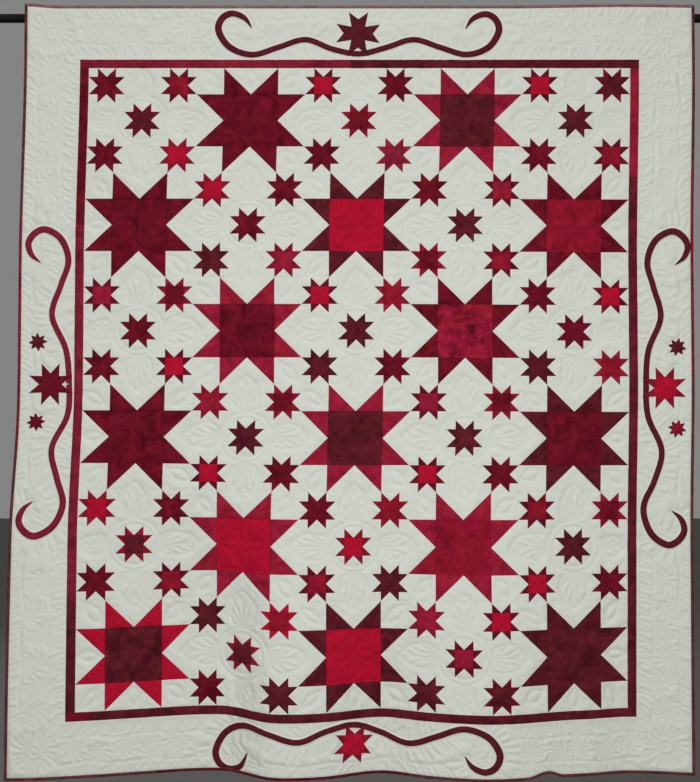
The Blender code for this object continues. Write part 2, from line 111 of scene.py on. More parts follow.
# Soft vertical folds. Each grows from nothing at start to its whole size at full, measured down
# the quilt: name, middle, reach to the left and right of it, forward, rise, start, full
FOLDS = (
    ("left swell",    0.02, 0.10, 0.33,  0.030, -0.005, 1.20, 2.10),
    ("left hollow",   0.56, 0.33, 0.17, -0.030,  0.007, 1.30, 1.80),
    ("middle swell",  0.76, 0.17, 0.28,  0.034, -0.004, 1.20, 2.00),
    ("middle hollow", 1.02, 0.16, 0.14, -0.018,  0.003, 1.70, 2.10),
    ("right swell",   1.32, 0.30, 0.29,  0.038, -0.006, 1.20, 2.00),
    ("hem pleat",     1.48, 0.06, 0.05,  0.000,  0.013, 2.04, 2.20),
    ("right hollow",  1.71, 0.14, 0.24, -0.018,  0.003, 1.40, 2.10),
)

# Where the cloth is drawn up or sags in its own plane: name, middle across and down, reach across
# and down, rise
LIFTS = (
    ("left side",   0.20, 1.43, 0.75, 0.45,  0.007),
    ("right side",  1.89, 0.85, 0.90, 0.60, -0.005),
    ("top right",   1.70, 0.00, 0.35, 0.15,  0.004),
    ("left corner", 0.00, 0.00, 0.10, 0.10,  0.006),
)

# Where the cloth drifts sideways on its way down: name, start, end, sideways, and how far from the
# left edge it is felt, which is 0 for the whole width
DRIFTS = (
    ("upper",      0.15, 0.75, -0.010, 0.00),
    ("lower",      1.05, 1.55, -0.008, 0.00),
    ("left flare", 1.15, 1.55, -0.010, 0.35),
)

# Appliqued scrolls, drawn from the middle to each end in their own along and out: name, cloth,
# middle across and down, unit vector along, unit vector out
SCROLLS = (
    ("scroll_top",    "V", WIDTH / 2, 0.1415,                  (1, 0), (0, -1)),
    ("scroll_bottom", "V", WIDTH / 2, HEIGHT - 0.143,          (1, 0), (0, 1)),
    ("scroll_left",   "R", 0.145, HEIGHT / 2 - 0.005,          (0, 1), (-1, 0)),
    ("scroll_right",  "V", WIDTH - 0.1365, HEIGHT / 2 - 0.005, (0, 1), (1, 0)),
)
# Half a scroll's waypoints: name, along and out on the top and bottom, along and out on the sides,
# and the cloth's half width there
SCROLL_WAY = (
    ("middle",    0.000, 0.000, 0.000, 0.000, 0.0086),
    ("rising",    0.075, 0.010, 0.095, 0.006, 0.0084),
    ("crest",     0.152, 0.043, 0.190, 0.044, 0.0084),
    ("falling",   0.228, 0.020, 0.275, 0.024, 0.0084),
    ("neck",      0.300, -0.001, 0.345, -0.001, 0.0088),
    ("heel",      0.362, 0.018, 0.404, 0.020, 0.0094),
    ("far side",  0.394, 0.064, 0.432, 0.064, 0.0098),
    ("bend",      0.386, 0.100, 0.424, 0.095, 0.0098),
    ("crown",     0.357, 0.116, 0.394, 0.115, 0.0092),
    ("inner",     0.322, 0.103, 0.360, 0.106, 0.0074),
    ("tip",       0.301, 0.074, 0.337, 0.080, 0.0012),
)
# No two ends are alike. Each end's changes: how much further out its rise, crest, fall and neck
# are, how much further along and out its hook is, and how much further out its tip is
SCROLL_ENDS = {
    "scroll_top": (
        (0.003, -0.002, -0.001, -0.002, 0.003, 0.001, 0.000),
        (0.008, -0.002, -0.002, -0.001, -0.002, -0.001, 0.000)),
    "scroll_bottom": (
        (0.000, -0.006, -0.002, 0.002, -0.012, 0.018, -0.013),
        (0.016, 0.008, 0.005, 0.000, 0.005, -0.001, 0.000)),
    "scroll_left": (
        (0.004, 0.005, 0.002, 0.005, 0.006, 0.002, 0.000),
        (-0.004, -0.003, -0.002, 0.002, 0.004, 0.003, 0.000)),
    "scroll_right": (
        (0.001, -0.002, -0.001, 0.006, 0.004, 0.004, 0.000),
        (0.000, 0.001, 0.003, -0.001, 0.025, -0.005, 0.000)),
}
SCROLL_STEPS = 8                            # facets from one waypoint to the next
HOOK_START = 3                              # the waypoint where a hook's own changes begin
HOOK_STEPS = 3                              # over how many waypoints they grow to their whole size
UNDER_BINDING = 0.0006                      # how far a scroll runs in under the binding's edge
SCROLL_NEAR = 0.6                           # nothing past this from a scroll's middle is near it

# Appliqued stars: name, cloths of its middle and its points, middle across and down, width, turn
# in degrees, and in units of a quarter of the width, how far from its middle lines its points end,
# its inner corners lie, and its notches are
BORDER_STARS = (
    ("star_top",         "VV", WIDTH / 2 - 0.004, 0.082,          0.122,   1, 0.88, 0.63, 1.34),
    ("star_bottom",      "BC", WIDTH / 2 - 0.001, HEIGHT - 0.089, 0.103,   6, 1.00, 0.98, 1.12),
    ("star_left",        "DD", 0.093, HEIGHT / 2 + 0.001,         0.119,   0, 0.84, 0.80, 1.06),
    ("star_right",       "BC", WIDTH - 0.084, HEIGHT / 2 + 0.007, 0.118,   0, 0.88, 0.84, 1.04),
    ("star_left_upper",  "VV", 0.057, HEIGHT / 2 - 0.120,         0.051,  20, 0.90, 0.90, 1.15),
    ("star_left_lower",  "DD", 0.056, HEIGHT / 2 + 0.110,         0.051,  20, 0.90, 0.90, 1.15),
    ("star_right_upper", "VV", WIDTH - 0.049, HEIGHT / 2 - 0.110, 0.051, -12, 0.90, 0.90, 1.15),
    ("star_right_lower", "CD", WIDTH - 0.049, HEIGHT / 2 + 0.124, 0.051, -12, 0.90, 0.90, 1.15),
)
SMALL_STAR = 0.060                          # stars narrower than this have blunter points
BLUNT = 0.80                                # how much of a point's length they keep
STAR_CELLS = (4, 8)                         # mesh cells in a unit of a small star, and of a larger one
STAR_LAP = 0.010                            # this near a scroll's middle line, a star lies on it
LAP_GAP = 0.0004                            # and this far off it

# A star's seams, in units of a quarter of its side: each point's slanting seam
STAR_SLANTS = (
    ((1, 0), (2, 1)), ((3, 0), (2, 1)), ((1, 4), (2, 3)), ((3, 4), (2, 3)),
    ((0, 1), (1, 2)), ((0, 3), (1, 2)), ((4, 1), (3, 2)), ((4, 3), (3, 2)),
)
STAR_UNITS = 4
# A plain star's outline, in the same units from its middle
STAR_RIM = (
    (-1, -2), (0, -1), (1, -2), (1, -1), (2, -1), (1, 0), (2, 1), (1, 1), (1, 2), (0, 1),
    (-1, 2), (-1, 1), (-2, 1), (-1, 0), (-2, -1), (-1, -1), (-1, -2),
)
PATCHES = 3                                 # a block of small stars has so many patches a side
SMALL_STARS = ((0, 0), (2, 0), (1, 1), (0, 2), (2, 2))

# The cloths by their letters: V very dark wine, D dark wine, P plum, R rose wine, C crimson,
# B bright red, K berry, S streaked crimson, M muted wine, F faded wine. Each star is its middle's
# cloth and its points' cloth. A block of five small stars lists the upper left, upper right,
# middle, lower left and lower right ones.
CHART = (
    ("DD CD VD DD BC", "DD", "BD DD DC DD RK", "VK", "BD VD VV DD CD"),
    ("DD", "BC DD DD VV KC", "BV", "DD KD VV DC CD", "CD"),
    ("KD DC DD DD BD", "DK", "BD CK VV VV DD", "SD", "DD BD DD VV CK"),
    ("DD", "KC DC VV BD DD", "VK", "KD DC VV BD DD", "DV"),
    ("BC DD VC DD CD", "BK", "DD CC BC CD VV", "CK", "CD DC VV BD DD"),
    ("VB", "VV CB VC DD VV", "BV", "KC BD KD VV VD", "VV"),
)

# The narrow strip and the binding are sewn from lengths of different cloths: side, where a length
# ends along the quilt, and its cloth
STRIP_LENGTHS = (
    ("top", 0.92, "R"), ("top", 9.0, "V"),
    ("bottom", 0.22, "D"), ("bottom", 9.0, "V"),
    ("left", 0.64, "D"), ("left", 1.70, "R"), ("left", 9.0, "V"),
    ("right", 0.50, "K"), ("right", 1.42, "P"), ("right", 9.0, "V"),
)
BINDING_LENGTHS = (
    ("top", 9.0, "F"),
    ("bottom", 0.40, "M"), ("bottom", 1.10, "V"), ("bottom", 9.0, "M"),
    ("left", 0.62, "M"), ("left", 1.28, "R"), ("left", 9.0, "M"),
    ("right", 0.48, "M"), ("right", 1.06, "R"), ("right", 9.0, "M"),
)

# The binding's roll, from its seam on the face round the edge to its seam on the back: depth in
# from the edge, and off the quilt's back
BINDING_ROLL = (
    (0.0090, 0.0046), (0.0083, 0.0061), (0.0064, 0.0068), (0.0042, 0.0067), (0.0020, 0.0060),
    (0.0006, 0.0046), (0.0001, 0.0028), (0.0005, 0.0010), (0.0020, -0.0004), (0.0044, -0.0010),
    (0.0070, -0.0009), (0.0086, -0.0002), (0.0092, 0.0010),
)
ROLL_STEP = 0.006                           # a face's length along it
ROLL_FACE = 0.003                           # its cloth is uneven where it lies higher than this
ROLL_WAVES = ((0.00025, 0.047, 0), (0.0002, 0.019, 1))   # each one's height, length and start

# An appliqued strip from one side to the other: share of its half width, and how far off the quilt
STRIP_CROWN = (
    (-1.00, -0.0006), (-0.95, 0.0008), (-0.84, 0.0012), (-0.50, 0.0014), (0.00, 0.0014),
    (0.50, 0.0014), (0.84, 0.0012), (0.95, 0.0008), (1.00, -0.0006),
)
TURNED_EDGE = -0.0006                       # how far the turned edge of a star sinks
TURNED_FLARE = 1.008                        # and how far it leans out

# The quilted rings round the middle star of a block of small stars
RING_INNER = 0.057
RING_OUTER = 0.071
# A quilted palmette, along and out from where it meets the ring: its edge, and its lobes' lines
PALMETTE_EDGE = ((0.002, 0.006), (0.010, 0.026), (0.034, 0.036), (0.062, 0.033), (0.088, 0.019), (0.103, 0.0))
PALMETTE_LOBES = (
    ((0.004, 0.003), (0.024, 0.009), (0.048, 0.013), (0.070, 0.023)),
    ((0.003, 0.006), (0.016, 0.017), (0.032, 0.023), (0.045, 0.032)),
    ((0.062, 0.001), (0.078, 0.007), (0.089, 0.014)),
)
PALMETTE_STEM = ((0.004, 0.0), (0.030, 0.001), (0.060, 0.0), (0.088, 0.001))
PALMETTE_CHANGE = (0.85, 1.15)              # how far each point's reach may differ
PALMETTE_BY_STRIP = 0.74                    # how large a palmette is beside the strip

# The quilting in a large star's block, in quarters of its side: the lines inside the big square's
# edges, the leaves from its middle, and the corner squares' leaves
SQUARE_LINE = 0.92
LEAF_START = 0.08
LEAF_LENGTH = 0.80
LEAF_REACH = 0.20
CORNER_LEAF_START = 1.20
CORNER_LEAF_LENGTHS = (0.7, 0.95)
CORNER_LEAF_REACHES = (0.15, 0.22)
CORNER_LEAF_TURN = 0.35                     # radians that they may turn either way
# And in metres, the leaves of the outer triangles beside the strip
STRIP_LEAF_INSET = 0.008
STRIP_LEAF_LENGTH = 0.052
STRIP_LEAF_REACH = 0.013

# Quilted swirls between a corner and a scroll, along and in from the quilt's edge: on the top and
# bottom, then on the sides
SWIRLS = (
    ((0.186, 0.088), (0.246, 0.070), (0.318, 0.086), (0.385, 0.068), (0.455, 0.082)),
    ((0.182, 0.076), (0.252, 0.090), (0.322, 0.070), (0.392, 0.086), (0.462, 0.068), (0.533, 0.084)),
)
SWIRL_RADII = (0.011, 0.037)
SWIRL_STROKES = 11
SWIRL_BAND = (0.041, 0.113)                 # how near to the border's edges a swirl goes
SWIRL_STRAY = (0.006, 0.005)                # how far its middle strays along and in
SWIRL_TWIST = (0.5, 0.9)                    # radians that its strokes curve by
SWIRL_CLEAR = 0.003                         # between its strokes and the next swirl's
CURL_STEPS = 16                             # the curl in its middle
CURL_TURNS = 1.3
CURL_START = 0.004
CURL_GROWTH = 0.006
STROKE_SHIFT = 0.15                         # how unevenly strokes stand round a place
STROKE_REACH = (0.92, 1.05)
CORNER_ROSETTE = 0.080                      # a corner rosette's distance from both edges
ROSETTE_RADII = (0.024, 0.058)
ROSETTE_STROKES = 20
ROSETTE_TWIST = 0.12
ROSETTE_MIDDLE = 0.010
# Quilted strokes along the border's edges: where they start, how far in they run, and their spacing
COMBS = ((0.0120, 0.027, 0.0160), (0.1465, -0.031, 0.0148))
COMB_LEAN = 0.7                             # how far along they lean, as a share of that
COMB_CORNER = CORNER_ROSETTE + ROSETTE_RADII[1] + 0.012   # how far from a corner they start
COMB_RUNS = (0.60, 1.15)                    # how far they differ in length, lean and spacing
COMB_LEANS = (0.3, 1.5)
COMB_SPACINGS = (0.75, 1.25)
COMB_CURVE = 1.4
COMB_LINE = 1.08                            # how far in the line past them lies, in their lengths
COMB_LINE_INSET = 0.15
COMB_LINE_STEP = 0.012
COMB_LINE_RISE = 0.0035
COMB_LINE_WAVE = 0.168
FAN_SPACING = 0.0140                        # between the strokes that fan out from a scroll
FAN_REACH = 0.044
FAN_LEAN = 20                               # degrees that they lean away from the scroll's middle
FAN_SPACINGS = (0.8, 1.2)                   # how far they differ in spacing, reach and lean
FAN_REACHES = (0.6, 1.1)
FAN_LEANS = (0.2, 1.8)
FAN_TIPS = (0.010, 0.008)                   # how far from a scroll's tips they stop
FAN_START = 0.006                           # how far off the scroll's edge they start
FAN_CLIMB = 0.0008                          # they stop where a step takes them no further off than this
FAN_EDGE = 0.003                            # or so near the strip
FAN_ROOM = 0.052                            # how far from a scroll the other quilting stops
SCROLL_ECHO = 0.0045                        # from a scroll's edge to the line quilted round it
STAR_ECHO = 0.0030                          # what the line round a star adds to each of its units
CLEAR_OF_SCROLL = 0.0058                    # where other lines stop, past a scroll's edge
CLEAR_OF_STAR = 0.0045                      # and past a star's

PUCKER_WAVES = (0.060, 0.043, 0.031, 0.024, 0.018, 0.014)
PUFF_CHANGE = 0.2                           # how much the wadding's swell differs from place to place
BACK_DRAWN = 0.0016                         # how far quilting draws the back in
BACK_DIP = 0.0065                           # and how far from a line that is felt
PROBE = 0.001                               # how far apart a slope is measured
STITCHED_STEP = 0.004                       # between the places that a quilted line is kept as

# How far the weave's threads, the cloth's small creases and the stitches over an edge stand up
THREAD_HEIGHT = 0.00006
CREASE_HEIGHT = 0.00050
STITCH_HEIGHT = 0.00030
STITCH_SPACING = 0.0014                     # from one of those stitches to the next

# The stage: the floor below the quilt, the lights and the camera. Each light has its name, its
# power's property, its place, what it is aimed at and its size
FLOOR_BELOW = 0.30
FLOOR_HALF = 14
LIGHTS = (
    ("front light", "front",  (0.08, -3.7, -1.2), (0.0, 0, -1.15), 1.6),
    ("light above", "above",  (-0.6, -2.8, 3.2),  (-0.1, 0, -1.9), 1.6),
    ("back light",  "behind", (-0.8, 3.6, 0.6),   (0, 0, -1.0),    2.0),
)
CAMERA_PLACE = (-0.027, -3.320, -1.174)
CAMERA_TILT = 92.0                          # degrees, where 90 looks level
CAMERA_LENS = 60.86                         # millimetres, on a sensor this wide
CAMERA_SENSOR = 36
CAMERA_REACH = (0.05, 60)                   # the nearest and farthest that it sees


def paint(red, green, blue):
    """A colour as a screen shows it, 0 to 255, in the linear values that shaders take."""
    parts = [part / 255 for part in (red, green, blue)]
    return tuple(part / 12.92 if part <= 0.04045 else ((part + 0.055) / 1.055) ** 2.4 for part in parts)


def length_property(name, description, default, low, high, precision=4):
    return bpy.props.FloatProperty(name=name, description=description, default=default, min=low,
                                   max=high, precision=precision, unit="LENGTH")


def power_property(name, description, default):
    return bpy.props.FloatProperty(name=name, description=description, default=default, min=0,
                                   max=1000, unit="POWER")


def colour_property(name, description, red, green, blue):
    return bpy.props.FloatVectorProperty(name=name, description=description, subtype="COLOR", size=3,
                                         min=0, max=1, default=paint(red, green, blue))


class QuiltSizes(bpy.types.PropertyGroup):
    """Sizes of the quilting and the sewing."""

    cells: bpy.props.IntProperty(
        name="Cells an inch", description="Mesh cells an inch on the quilt's face", default=7, min=2, max=8)
    back_cells: bpy.props.IntProperty(
        name="Back cells an inch", description="Mesh cells an inch on the quilt's back",
        default=4, min=1, max=8)
    seam_level: length_property("Seam level", "How far a seam lies off the quilt's back", 0.0046, 0.002, 0.01)
    seam_share: bpy.props.FloatProperty(
        name="Seam share", description="How much of a quilted line's dip a patchwork seam has",
        default=0.28, min=0.0, max=1.0)
    puff: length_property("Puff", "How far the wadding swells between the quilted lines", 0.0047, 0.0, 0.006)
    dip: length_property("Dip", "How far from a quilted line the cloth is drawn down", 0.0060, 0.002, 0.02)
    line: length_property("Line", "How wide a quilted line's bottom is", 0.0016, 0.0002, 0.004)
    pucker: length_property(
        "Pucker", "How uneven the cloth is between the quilted lines", 0.00030, 0.0, 0.001, 5)
    applique_lift: length_property(
        "Applique lift", "How far one layer of applique lies over another", 0.0011, 0.0003, 0.003)
    thread: length_property("Thread", "From one thread of the weave to the next", 0.0006, 0.0002, 0.003, 5)


class QuiltColours(bpy.types.PropertyGroup):
    """Colours of the cloths, the paint and the floor."""

    white: colour_property("White", "The white cotton of the face", 218, 221, 211)
    backing: colour_property("Backing", "The plain cotton of the back and the sleeve", 214, 209, 194)
    very_dark_wine: colour_property("Very dark wine", "Cloth V", 91, 26, 36)
    dark_wine: colour_property("Dark wine", "Cloth D", 107, 17, 34)
    plum: colour_property("Plum", "Cloth P", 101, 26, 42)
    crimson: colour_property("Crimson", "Cloth C", 141, 22, 43)
    bright_red: colour_property("Bright red", "Cloth B", 178, 18, 47)
    berry: colour_property("Berry", "Cloth K", 150, 28, 52)
    rose_wine: colour_property("Rose wine", "Cloth R", 128, 31, 49)
    streaked_crimson: colour_property("Streaked crimson", "Cloth S", 145, 26, 49)
    muted_wine: colour_property("Muted wine", "Cloth M", 98, 50, 52)
    faded_wine: colour_property("Faded wine", "Cloth F", 132, 100, 94)
    rod: colour_property("Rod", "The rod's black paint", 13, 13, 14)
    floor: colour_property("Floor", "The plain floor", 104, 103, 101)
    air: colour_property("Surroundings", "The plain light behind everything", 186, 187, 186)


class StageLights(bpy.types.PropertyGroup):
    """The studio's light."""

    front: power_property("Front light", "The large soft light before the quilt", 56)
    front_spread: bpy.props.FloatProperty(
        name="Front spread", description="How widely the front light spreads",
        default=radians(150), min=0.2, max=pi, subtype="ANGLE")
    above: power_property("Light above", "The soft light over the quilt, which draws out the quilting", 68)
    behind: power_property("Back light", "The soft light behind the quilt", 45)
    air: bpy.props.FloatProperty(
        name="Surroundings", description="How bright the plain surroundings are",
        default=0.46, min=0, max=5)


CLOTH_LETTERS = {
    "V": "very_dark_wine", "D": "dark_wine", "P": "plum",
    "R": "rose_wine", "C": "crimson", "B": "bright_red", "K": "berry",
    "S": "streaked_crimson", "M": "muted_wine", "F": "faded_wine",
    "W": "white", "L": "backing",
}

# How mottled each cloth is, from even at 0 to streaked at 1
MOTTLING = {
    "V": 0.66, "D": 0.66, "P": 0.60, "R": 0.55, "C": 0.50, "B": 0.20, "K": 0.50,
    "S": 1.0, "M": 0.60, "F": 0.40, "W": 0.0, "L": 0.0,
}
BROWNER = (1.04, 1.28, 0.87)                # what a mottled cloth's own colour is multiplied by
PINKER = (0.97, 0.82, 1.16)


def sizes():
    return bpy.context.scene.quilt_sizes


def colours():
    return bpy.context.scene.quilt_colours


# The hanging cloth

def ease(t):
    """0 before 0, 1 after 1, and a smooth rise between."""
    t = np.clip(t, 0.0, 1.0)
    return t * t * (3 - 2 * t)


def swell(place, middle, before, after):
    """A smooth hump: 1 at its middle, 0 past its reach on either side."""
    t = np.abs(place - middle) / np.where(place < middle, before, after)
    return np.where(t < 1, 0.5 * (1 + np.cos(pi * t)), 0.0)


def on_sheet(u, v):
    """The points of the quilt's back that lie at u, v when it hangs."""
    forward = np.zeros_like(u)
    rise = np.zeros_like(u)
    for _, middle, left, right, depth, lift, start, full in FOLDS:
        grown = ease((v - start) / (full - start)) * swell(u, middle, left, right)
        forward += depth * grown
        rise += lift * grown
    for _, across, down, reach_across, reach_down, lift in LIFTS:
        lifted = swell(u, across, reach_across, reach_across) * swell(v, down, reach_down, reach_down)
        rise += lift * lifted
    sideways = np.zeros_like(u)
    for _, start, end, shift, felt in DRIFTS:
        share = 1 - ease(u / felt) if felt else 1.0
        sideways += shift * share * ease((v - start) / (end - start))
    drop = v * HANG - TOP_DRAWN_UP * ease(v / TOP_DRAWN_OVER)
    return np.stack([u - WIDTH / 2 + sideways, BACK_Y - forward, TOP_ABOVE_ROD - drop + rise], axis=1)


def hung(flat):
    """Flat points, u, v and w, on the hanging quilt."""
    u, v, w = np.asarray(flat, dtype=float).T
    across = on_sheet(u + PROBE, v) - on_sheet(u - PROBE, v)
    down = on_sheet(u, v + PROBE) - on_sheet(u, v - PROBE)
    outward = np.cross(down, across)
    outward /= np.linalg.norm(outward, axis=1, keepdims=True)
    outward *= np.where(outward[:, 1:2] > 0, -1.0, 1.0)
    return on_sheet(u, v) + outward * w[:, None]


# The lines that are sewn through the quilt, each a list of flat points

def is_large(column, row):
    """Large star blocks and blocks of five small stars take turns."""
    return (column + row) % 2 == 1


def star_places():
    """Each star in the blocks: its corner across and down, and its unit, in inches."""
    places = []
    for column in range(COLUMNS):
        for row in range(ROWS):
            left, top = column * BLOCK, row * BLOCK
            if is_large(column, row):
                places.append((left, top, BLOCK // STAR_UNITS))
                continue
            patch = BLOCK // PATCHES
            for across, down in SMALL_STARS:
                places.append((left + across * patch, top + down * patch, patch // STAR_UNITS))
    return places


def seam_lines():
    """Every seam of the patchwork, and the edges of the strip."""
    def at(across, down):
        return (EDGE + across * INCH, EDGE + down * INCH)

    lines = []
    for column in range(COLUMNS + 1):
        lines.append([at(column * BLOCK, 0), at(column * BLOCK, ROWS * BLOCK)])
    for row in range(ROWS + 1):
        lines.append([at(0, row * BLOCK), at(COLUMNS * BLOCK, row * BLOCK)])
    patch = BLOCK // PATCHES
    for column in range(COLUMNS):
        for row in range(ROWS):
            if is_large(column, row):
                continue
            left, top = column * BLOCK, row * BLOCK
            for place in (patch, 2 * patch):
                lines.append([at(left + place, top), at(left + place, top + BLOCK)])
                lines.append([at(left, top + place), at(left + BLOCK, top + place)])
    for left, top, unit in star_places():
        side = STAR_UNITS * unit
        for place in (unit, 3 * unit):
            lines.append([at(left + place, top), at(left + place, top + side)])
            lines.append([at(left, top + place), at(left + side, top + place)])
        for start, end in STAR_SLANTS:
            lines.append([at(left + start[0] * unit, top + start[1] * unit),
                          at(left + end[0] * unit, top + end[1] * unit)])
    lines.append(rectangle(BINDING + BORDER))
    return lines


def rectangle(inset):
    """The line that lies at this inset from the quilt's edges."""
    return [(inset, inset), (WIDTH - inset, inset), (WIDTH - inset, HEIGHT - inset),
            (inset, HEIGHT - inset), (inset, inset)]


def turned(u, v, along, points):
    """Points given along and across a direction, in u and v."""
    length = hypot(*along)
    a, b = along[0] / length, along[1] / length
    return [(u + a * x - b * y, v + b * x + a * y) for x, y in points]


def circle(u, v, radius, count=48):
    return [(u + radius * cos(2 * pi * n / count), v + radius * sin(2 * pi * n / count))
            for n in range(count + 1)]


def palmette(u, v, along, size, random):
    """A quilted palmette: an oval edge, a stem, and lobes that fan out on both sides of it."""
    def curve(points, side):
        moved = [(x * size, side * y * size * random.uniform(*PALMETTE_CHANGE)) for x, y in points]
        return turned(u, v, along, smooth_way(moved, 4))

    lines = [curve(PALMETTE_STEM, random.choice((-1, 1)))]
    for side in (-1, 1):
        lines.append(curve(PALMETTE_EDGE, side))
        for lobe in PALMETTE_LOBES:
            lines.append(curve(lobe, side))
    return lines


def leaf(u, v, along, length, reach):
    """Two arcs that meet at both ends."""
    lines = []
    for side in (-1, 1):
        arc = [(length * n / 12, side * reach * sin(pi * n / 12)) for n in range(13)]
        lines.append(turned(u, v, along, arc))
    return lines


def small_star_quilting(u, v, sides, random):
    """The double ring round a block's middle star, and the palmettes that stand on it."""
    lines = [circle(u, v, RING_OUTER), circle(u, v, RING_INNER)]
    for a, b, inner in sides:
        size = 1.0 if inner else PALMETTE_BY_STRIP
        lines += palmette(u + a * RING_OUTER, v + b * RING_OUTER, (a, b), size, random)
    return lines


def large_star_quilting(u, v, sides, random):
    """The lines and leaves in a large star's big square, outer triangles and corner squares."""
    unit = BLOCK * INCH / STAR_UNITS
    lines = []
    for a, b, inner in sides:
        start = (u + a * unit * SQUARE_LINE - b * unit, v + b * unit * SQUARE_LINE - a * unit)
        lines.append(turned(*start, (b, a), [(2 * unit * n / 12, 0.0) for n in (1, 11)]))
        lines += leaf(u + a * unit * LEAF_START, v + b * unit * LEAF_START, (a, b),
                      unit * LEAF_LENGTH, unit * LEAF_REACH)
        if not inner:
            away = HALF_BLOCK - STRIP_LEAF_INSET
            lines += leaf(u + a * away, v + b * away, (-a, -b), STRIP_LEAF_LENGTH, STRIP_LEAF_REACH)
    for a in (-1, 1):
        for b in (-1, 1):
            turn = atan2(b, a) + random.uniform(-CORNER_LEAF_TURN, CORNER_LEAF_TURN)
            away = unit * CORNER_LEAF_START
            lines += leaf(u + a * away, v + b * away, (cos(turn), sin(turn)),
                          unit * random.uniform(*CORNER_LEAF_LENGTHS),
                          unit * random.uniform(*CORNER_LEAF_REACHES))
    return lines


def block_lines():
    """The quilted rings, palmettes and leaves in the blocks."""
    random = np.random.default_rng(5)
    lines = []
    for column in range(COLUMNS):
        for row in range(ROWS):
            u = EDGE + column * 2 * HALF_BLOCK + HALF_BLOCK
            v = EDGE + row * 2 * HALF_BLOCK + HALF_BLOCK
            sides = ((1, 0, column < COLUMNS - 1), (-1, 0, column > 0),
                     (0, 1, row < ROWS - 1), (0, -1, row > 0))
            quilting = large_star_quilting if is_large(column, row) else small_star_quilting
            lines += quilting(u, v, sides, random)
    return lines


def border_sides():
    """Each side of the border: its corner, the way along it, the way in from it, and its length."""
    return (
        ((0, 0), (1, 0), (0, 1), WIDTH), ((0, HEIGHT), (1, 0), (0, -1), WIDTH),
        ((0, 0), (0, 1), (1, 0), HEIGHT), ((WIDTH, 0), (0, 1), (-1, 0), HEIGHT),
    )


def ring_of_strokes(u, v, radii, count, twist, random):
    """Curved strokes that stand round a place."""
    first = random.uniform(0, 2 * pi)
    strokes = []
    for n in range(count):
        heading = first + 2 * pi * (n + random.uniform(-STROKE_SHIFT, STROKE_SHIFT)) / count
        end = radii[1] * random.uniform(*STROKE_REACH)
        stroke = []
        for radius in np.linspace(radii[0], end, 10):
            angle = heading + twist * (radius - radii[0]) / (radii[1] - radii[0])
            stroke.append((u + radius * cos(angle), v + radius * sin(angle)))
        strokes.append(stroke)
    return strokes


def swirls(length, random):
    """The swirls on one side of the border, as places along it and in from its edge."""
    centres = []
    for along, depth in SWIRLS[0] if length == WIDTH else SWIRLS[1]:
        for mirrored in (False, True):
            place = length - along if mirrored else along
            centres.append((place + random.normal(0, SWIRL_STRAY[0]),
                            depth + random.normal(0, SWIRL_STRAY[1])))
    lines = []
    for centre in centres:
        others = [other for other in centres if other != centre]
        twist = random.choice((-1, 1)) * random.uniform(*SWIRL_TWIST)
        for stroke in ring_of_strokes(*centre, SWIRL_RADII, SWIRL_STROKES, twist, random):
            kept = []
            for place in stroke:
                own = hypot(place[0] - centre[0], place[1] - centre[1])
                crowded = any(hypot(place[0] - a, place[1] - b) < own + SWIRL_CLEAR for a, b in others)
                if crowded or not SWIRL_BAND[0] < place[1] < SWIRL_BAND[1]:
                    break
                kept.append(place)
            if len(kept) > 2:
                lines.append(kept)
        curl = []
        for n in range(CURL_STEPS + 1):
            radius = CURL_START + CURL_GROWTH * n / CURL_STEPS
            angle = CURL_TURNS * 2 * pi * n / CURL_STEPS
            curl.append((centre[0] + radius * cos(angle), centre[1] + radius * sin(angle)))
        lines.append(curl)
    return lines


def combs(length, random):
    """The short strokes along both edges of one side of the border, and the line that ends them."""
    lines = []
    for start, reach, spacing in COMBS:
        along = COMB_CORNER
        while along < length - COMB_CORNER:
            run = reach * random.uniform(*COMB_RUNS)
            lean = run * COMB_LEAN * random.uniform(*COMB_LEANS) * (-1 if along > length / 2 else 1)
            lines.append([(along + lean * t ** COMB_CURVE, start + run * t)
                          for t in (0.0, 0.25, 0.5, 0.75, 1.0)])
            along += spacing * random.uniform(*COMB_SPACINGS)
        end = start + reach * COMB_LINE
        steps = int(length / COMB_LINE_STEP)
        places = [COMB_LINE_INSET + (length - 2 * COMB_LINE_INSET) * n / steps for n in range(steps + 1)]
        lines.append([(place, end + COMB_LINE_RISE * sin(2 * pi * place / COMB_LINE_WAVE))
                      for place in places])
    return lines


def fans():
    """Strokes that fan out from both edges of each scroll, away from its middle."""
    random = np.random.default_rng(9)
    lines = []
    for row in SCROLLS:
        stations = scroll_stations(row)
        way = way_along(stations[:, :2])
        mark = FAN_TIPS[0]
        while mark < way[-1] - FAN_TIPS[1]:
            u, v, out_u, out_v, width = (np.interp(mark, way, column) for column in stations.T)
            onward = 1 if mark > way[-1] / 2 else -1
            for side in (-1, 1):
                lean = radians(FAN_LEAN) * random.uniform(*FAN_LEANS)
                step_u = side * out_u * cos(lean) + onward * out_v * sin(lean)
                step_v = side * out_v * cos(lean) - onward * out_u * sin(lean)
                stroke, before = [], 0.0
                reach = FAN_REACH * random.uniform(*FAN_REACHES)
                for gone in np.linspace(width + FAN_START, width + reach, 12):
                    place = (u + step_u * gone / cos(lean), v + step_v * gone / cos(lean))
                    off = np.hypot(stations[:, 0] - place[0], stations[:, 1] - place[1]).min()
                    depth = min(place[0], WIDTH - place[0], place[1], HEIGHT - place[1])
                    if off < before + FAN_CLIMB or not BINDING < depth < BINDING + BORDER - FAN_EDGE:
                        break
                    stroke.append(place)
                    before = off
                if len(stroke) > 3:
                    lines.append(stroke)
            mark += FAN_SPACING * random.uniform(*FAN_SPACINGS)
    return lines


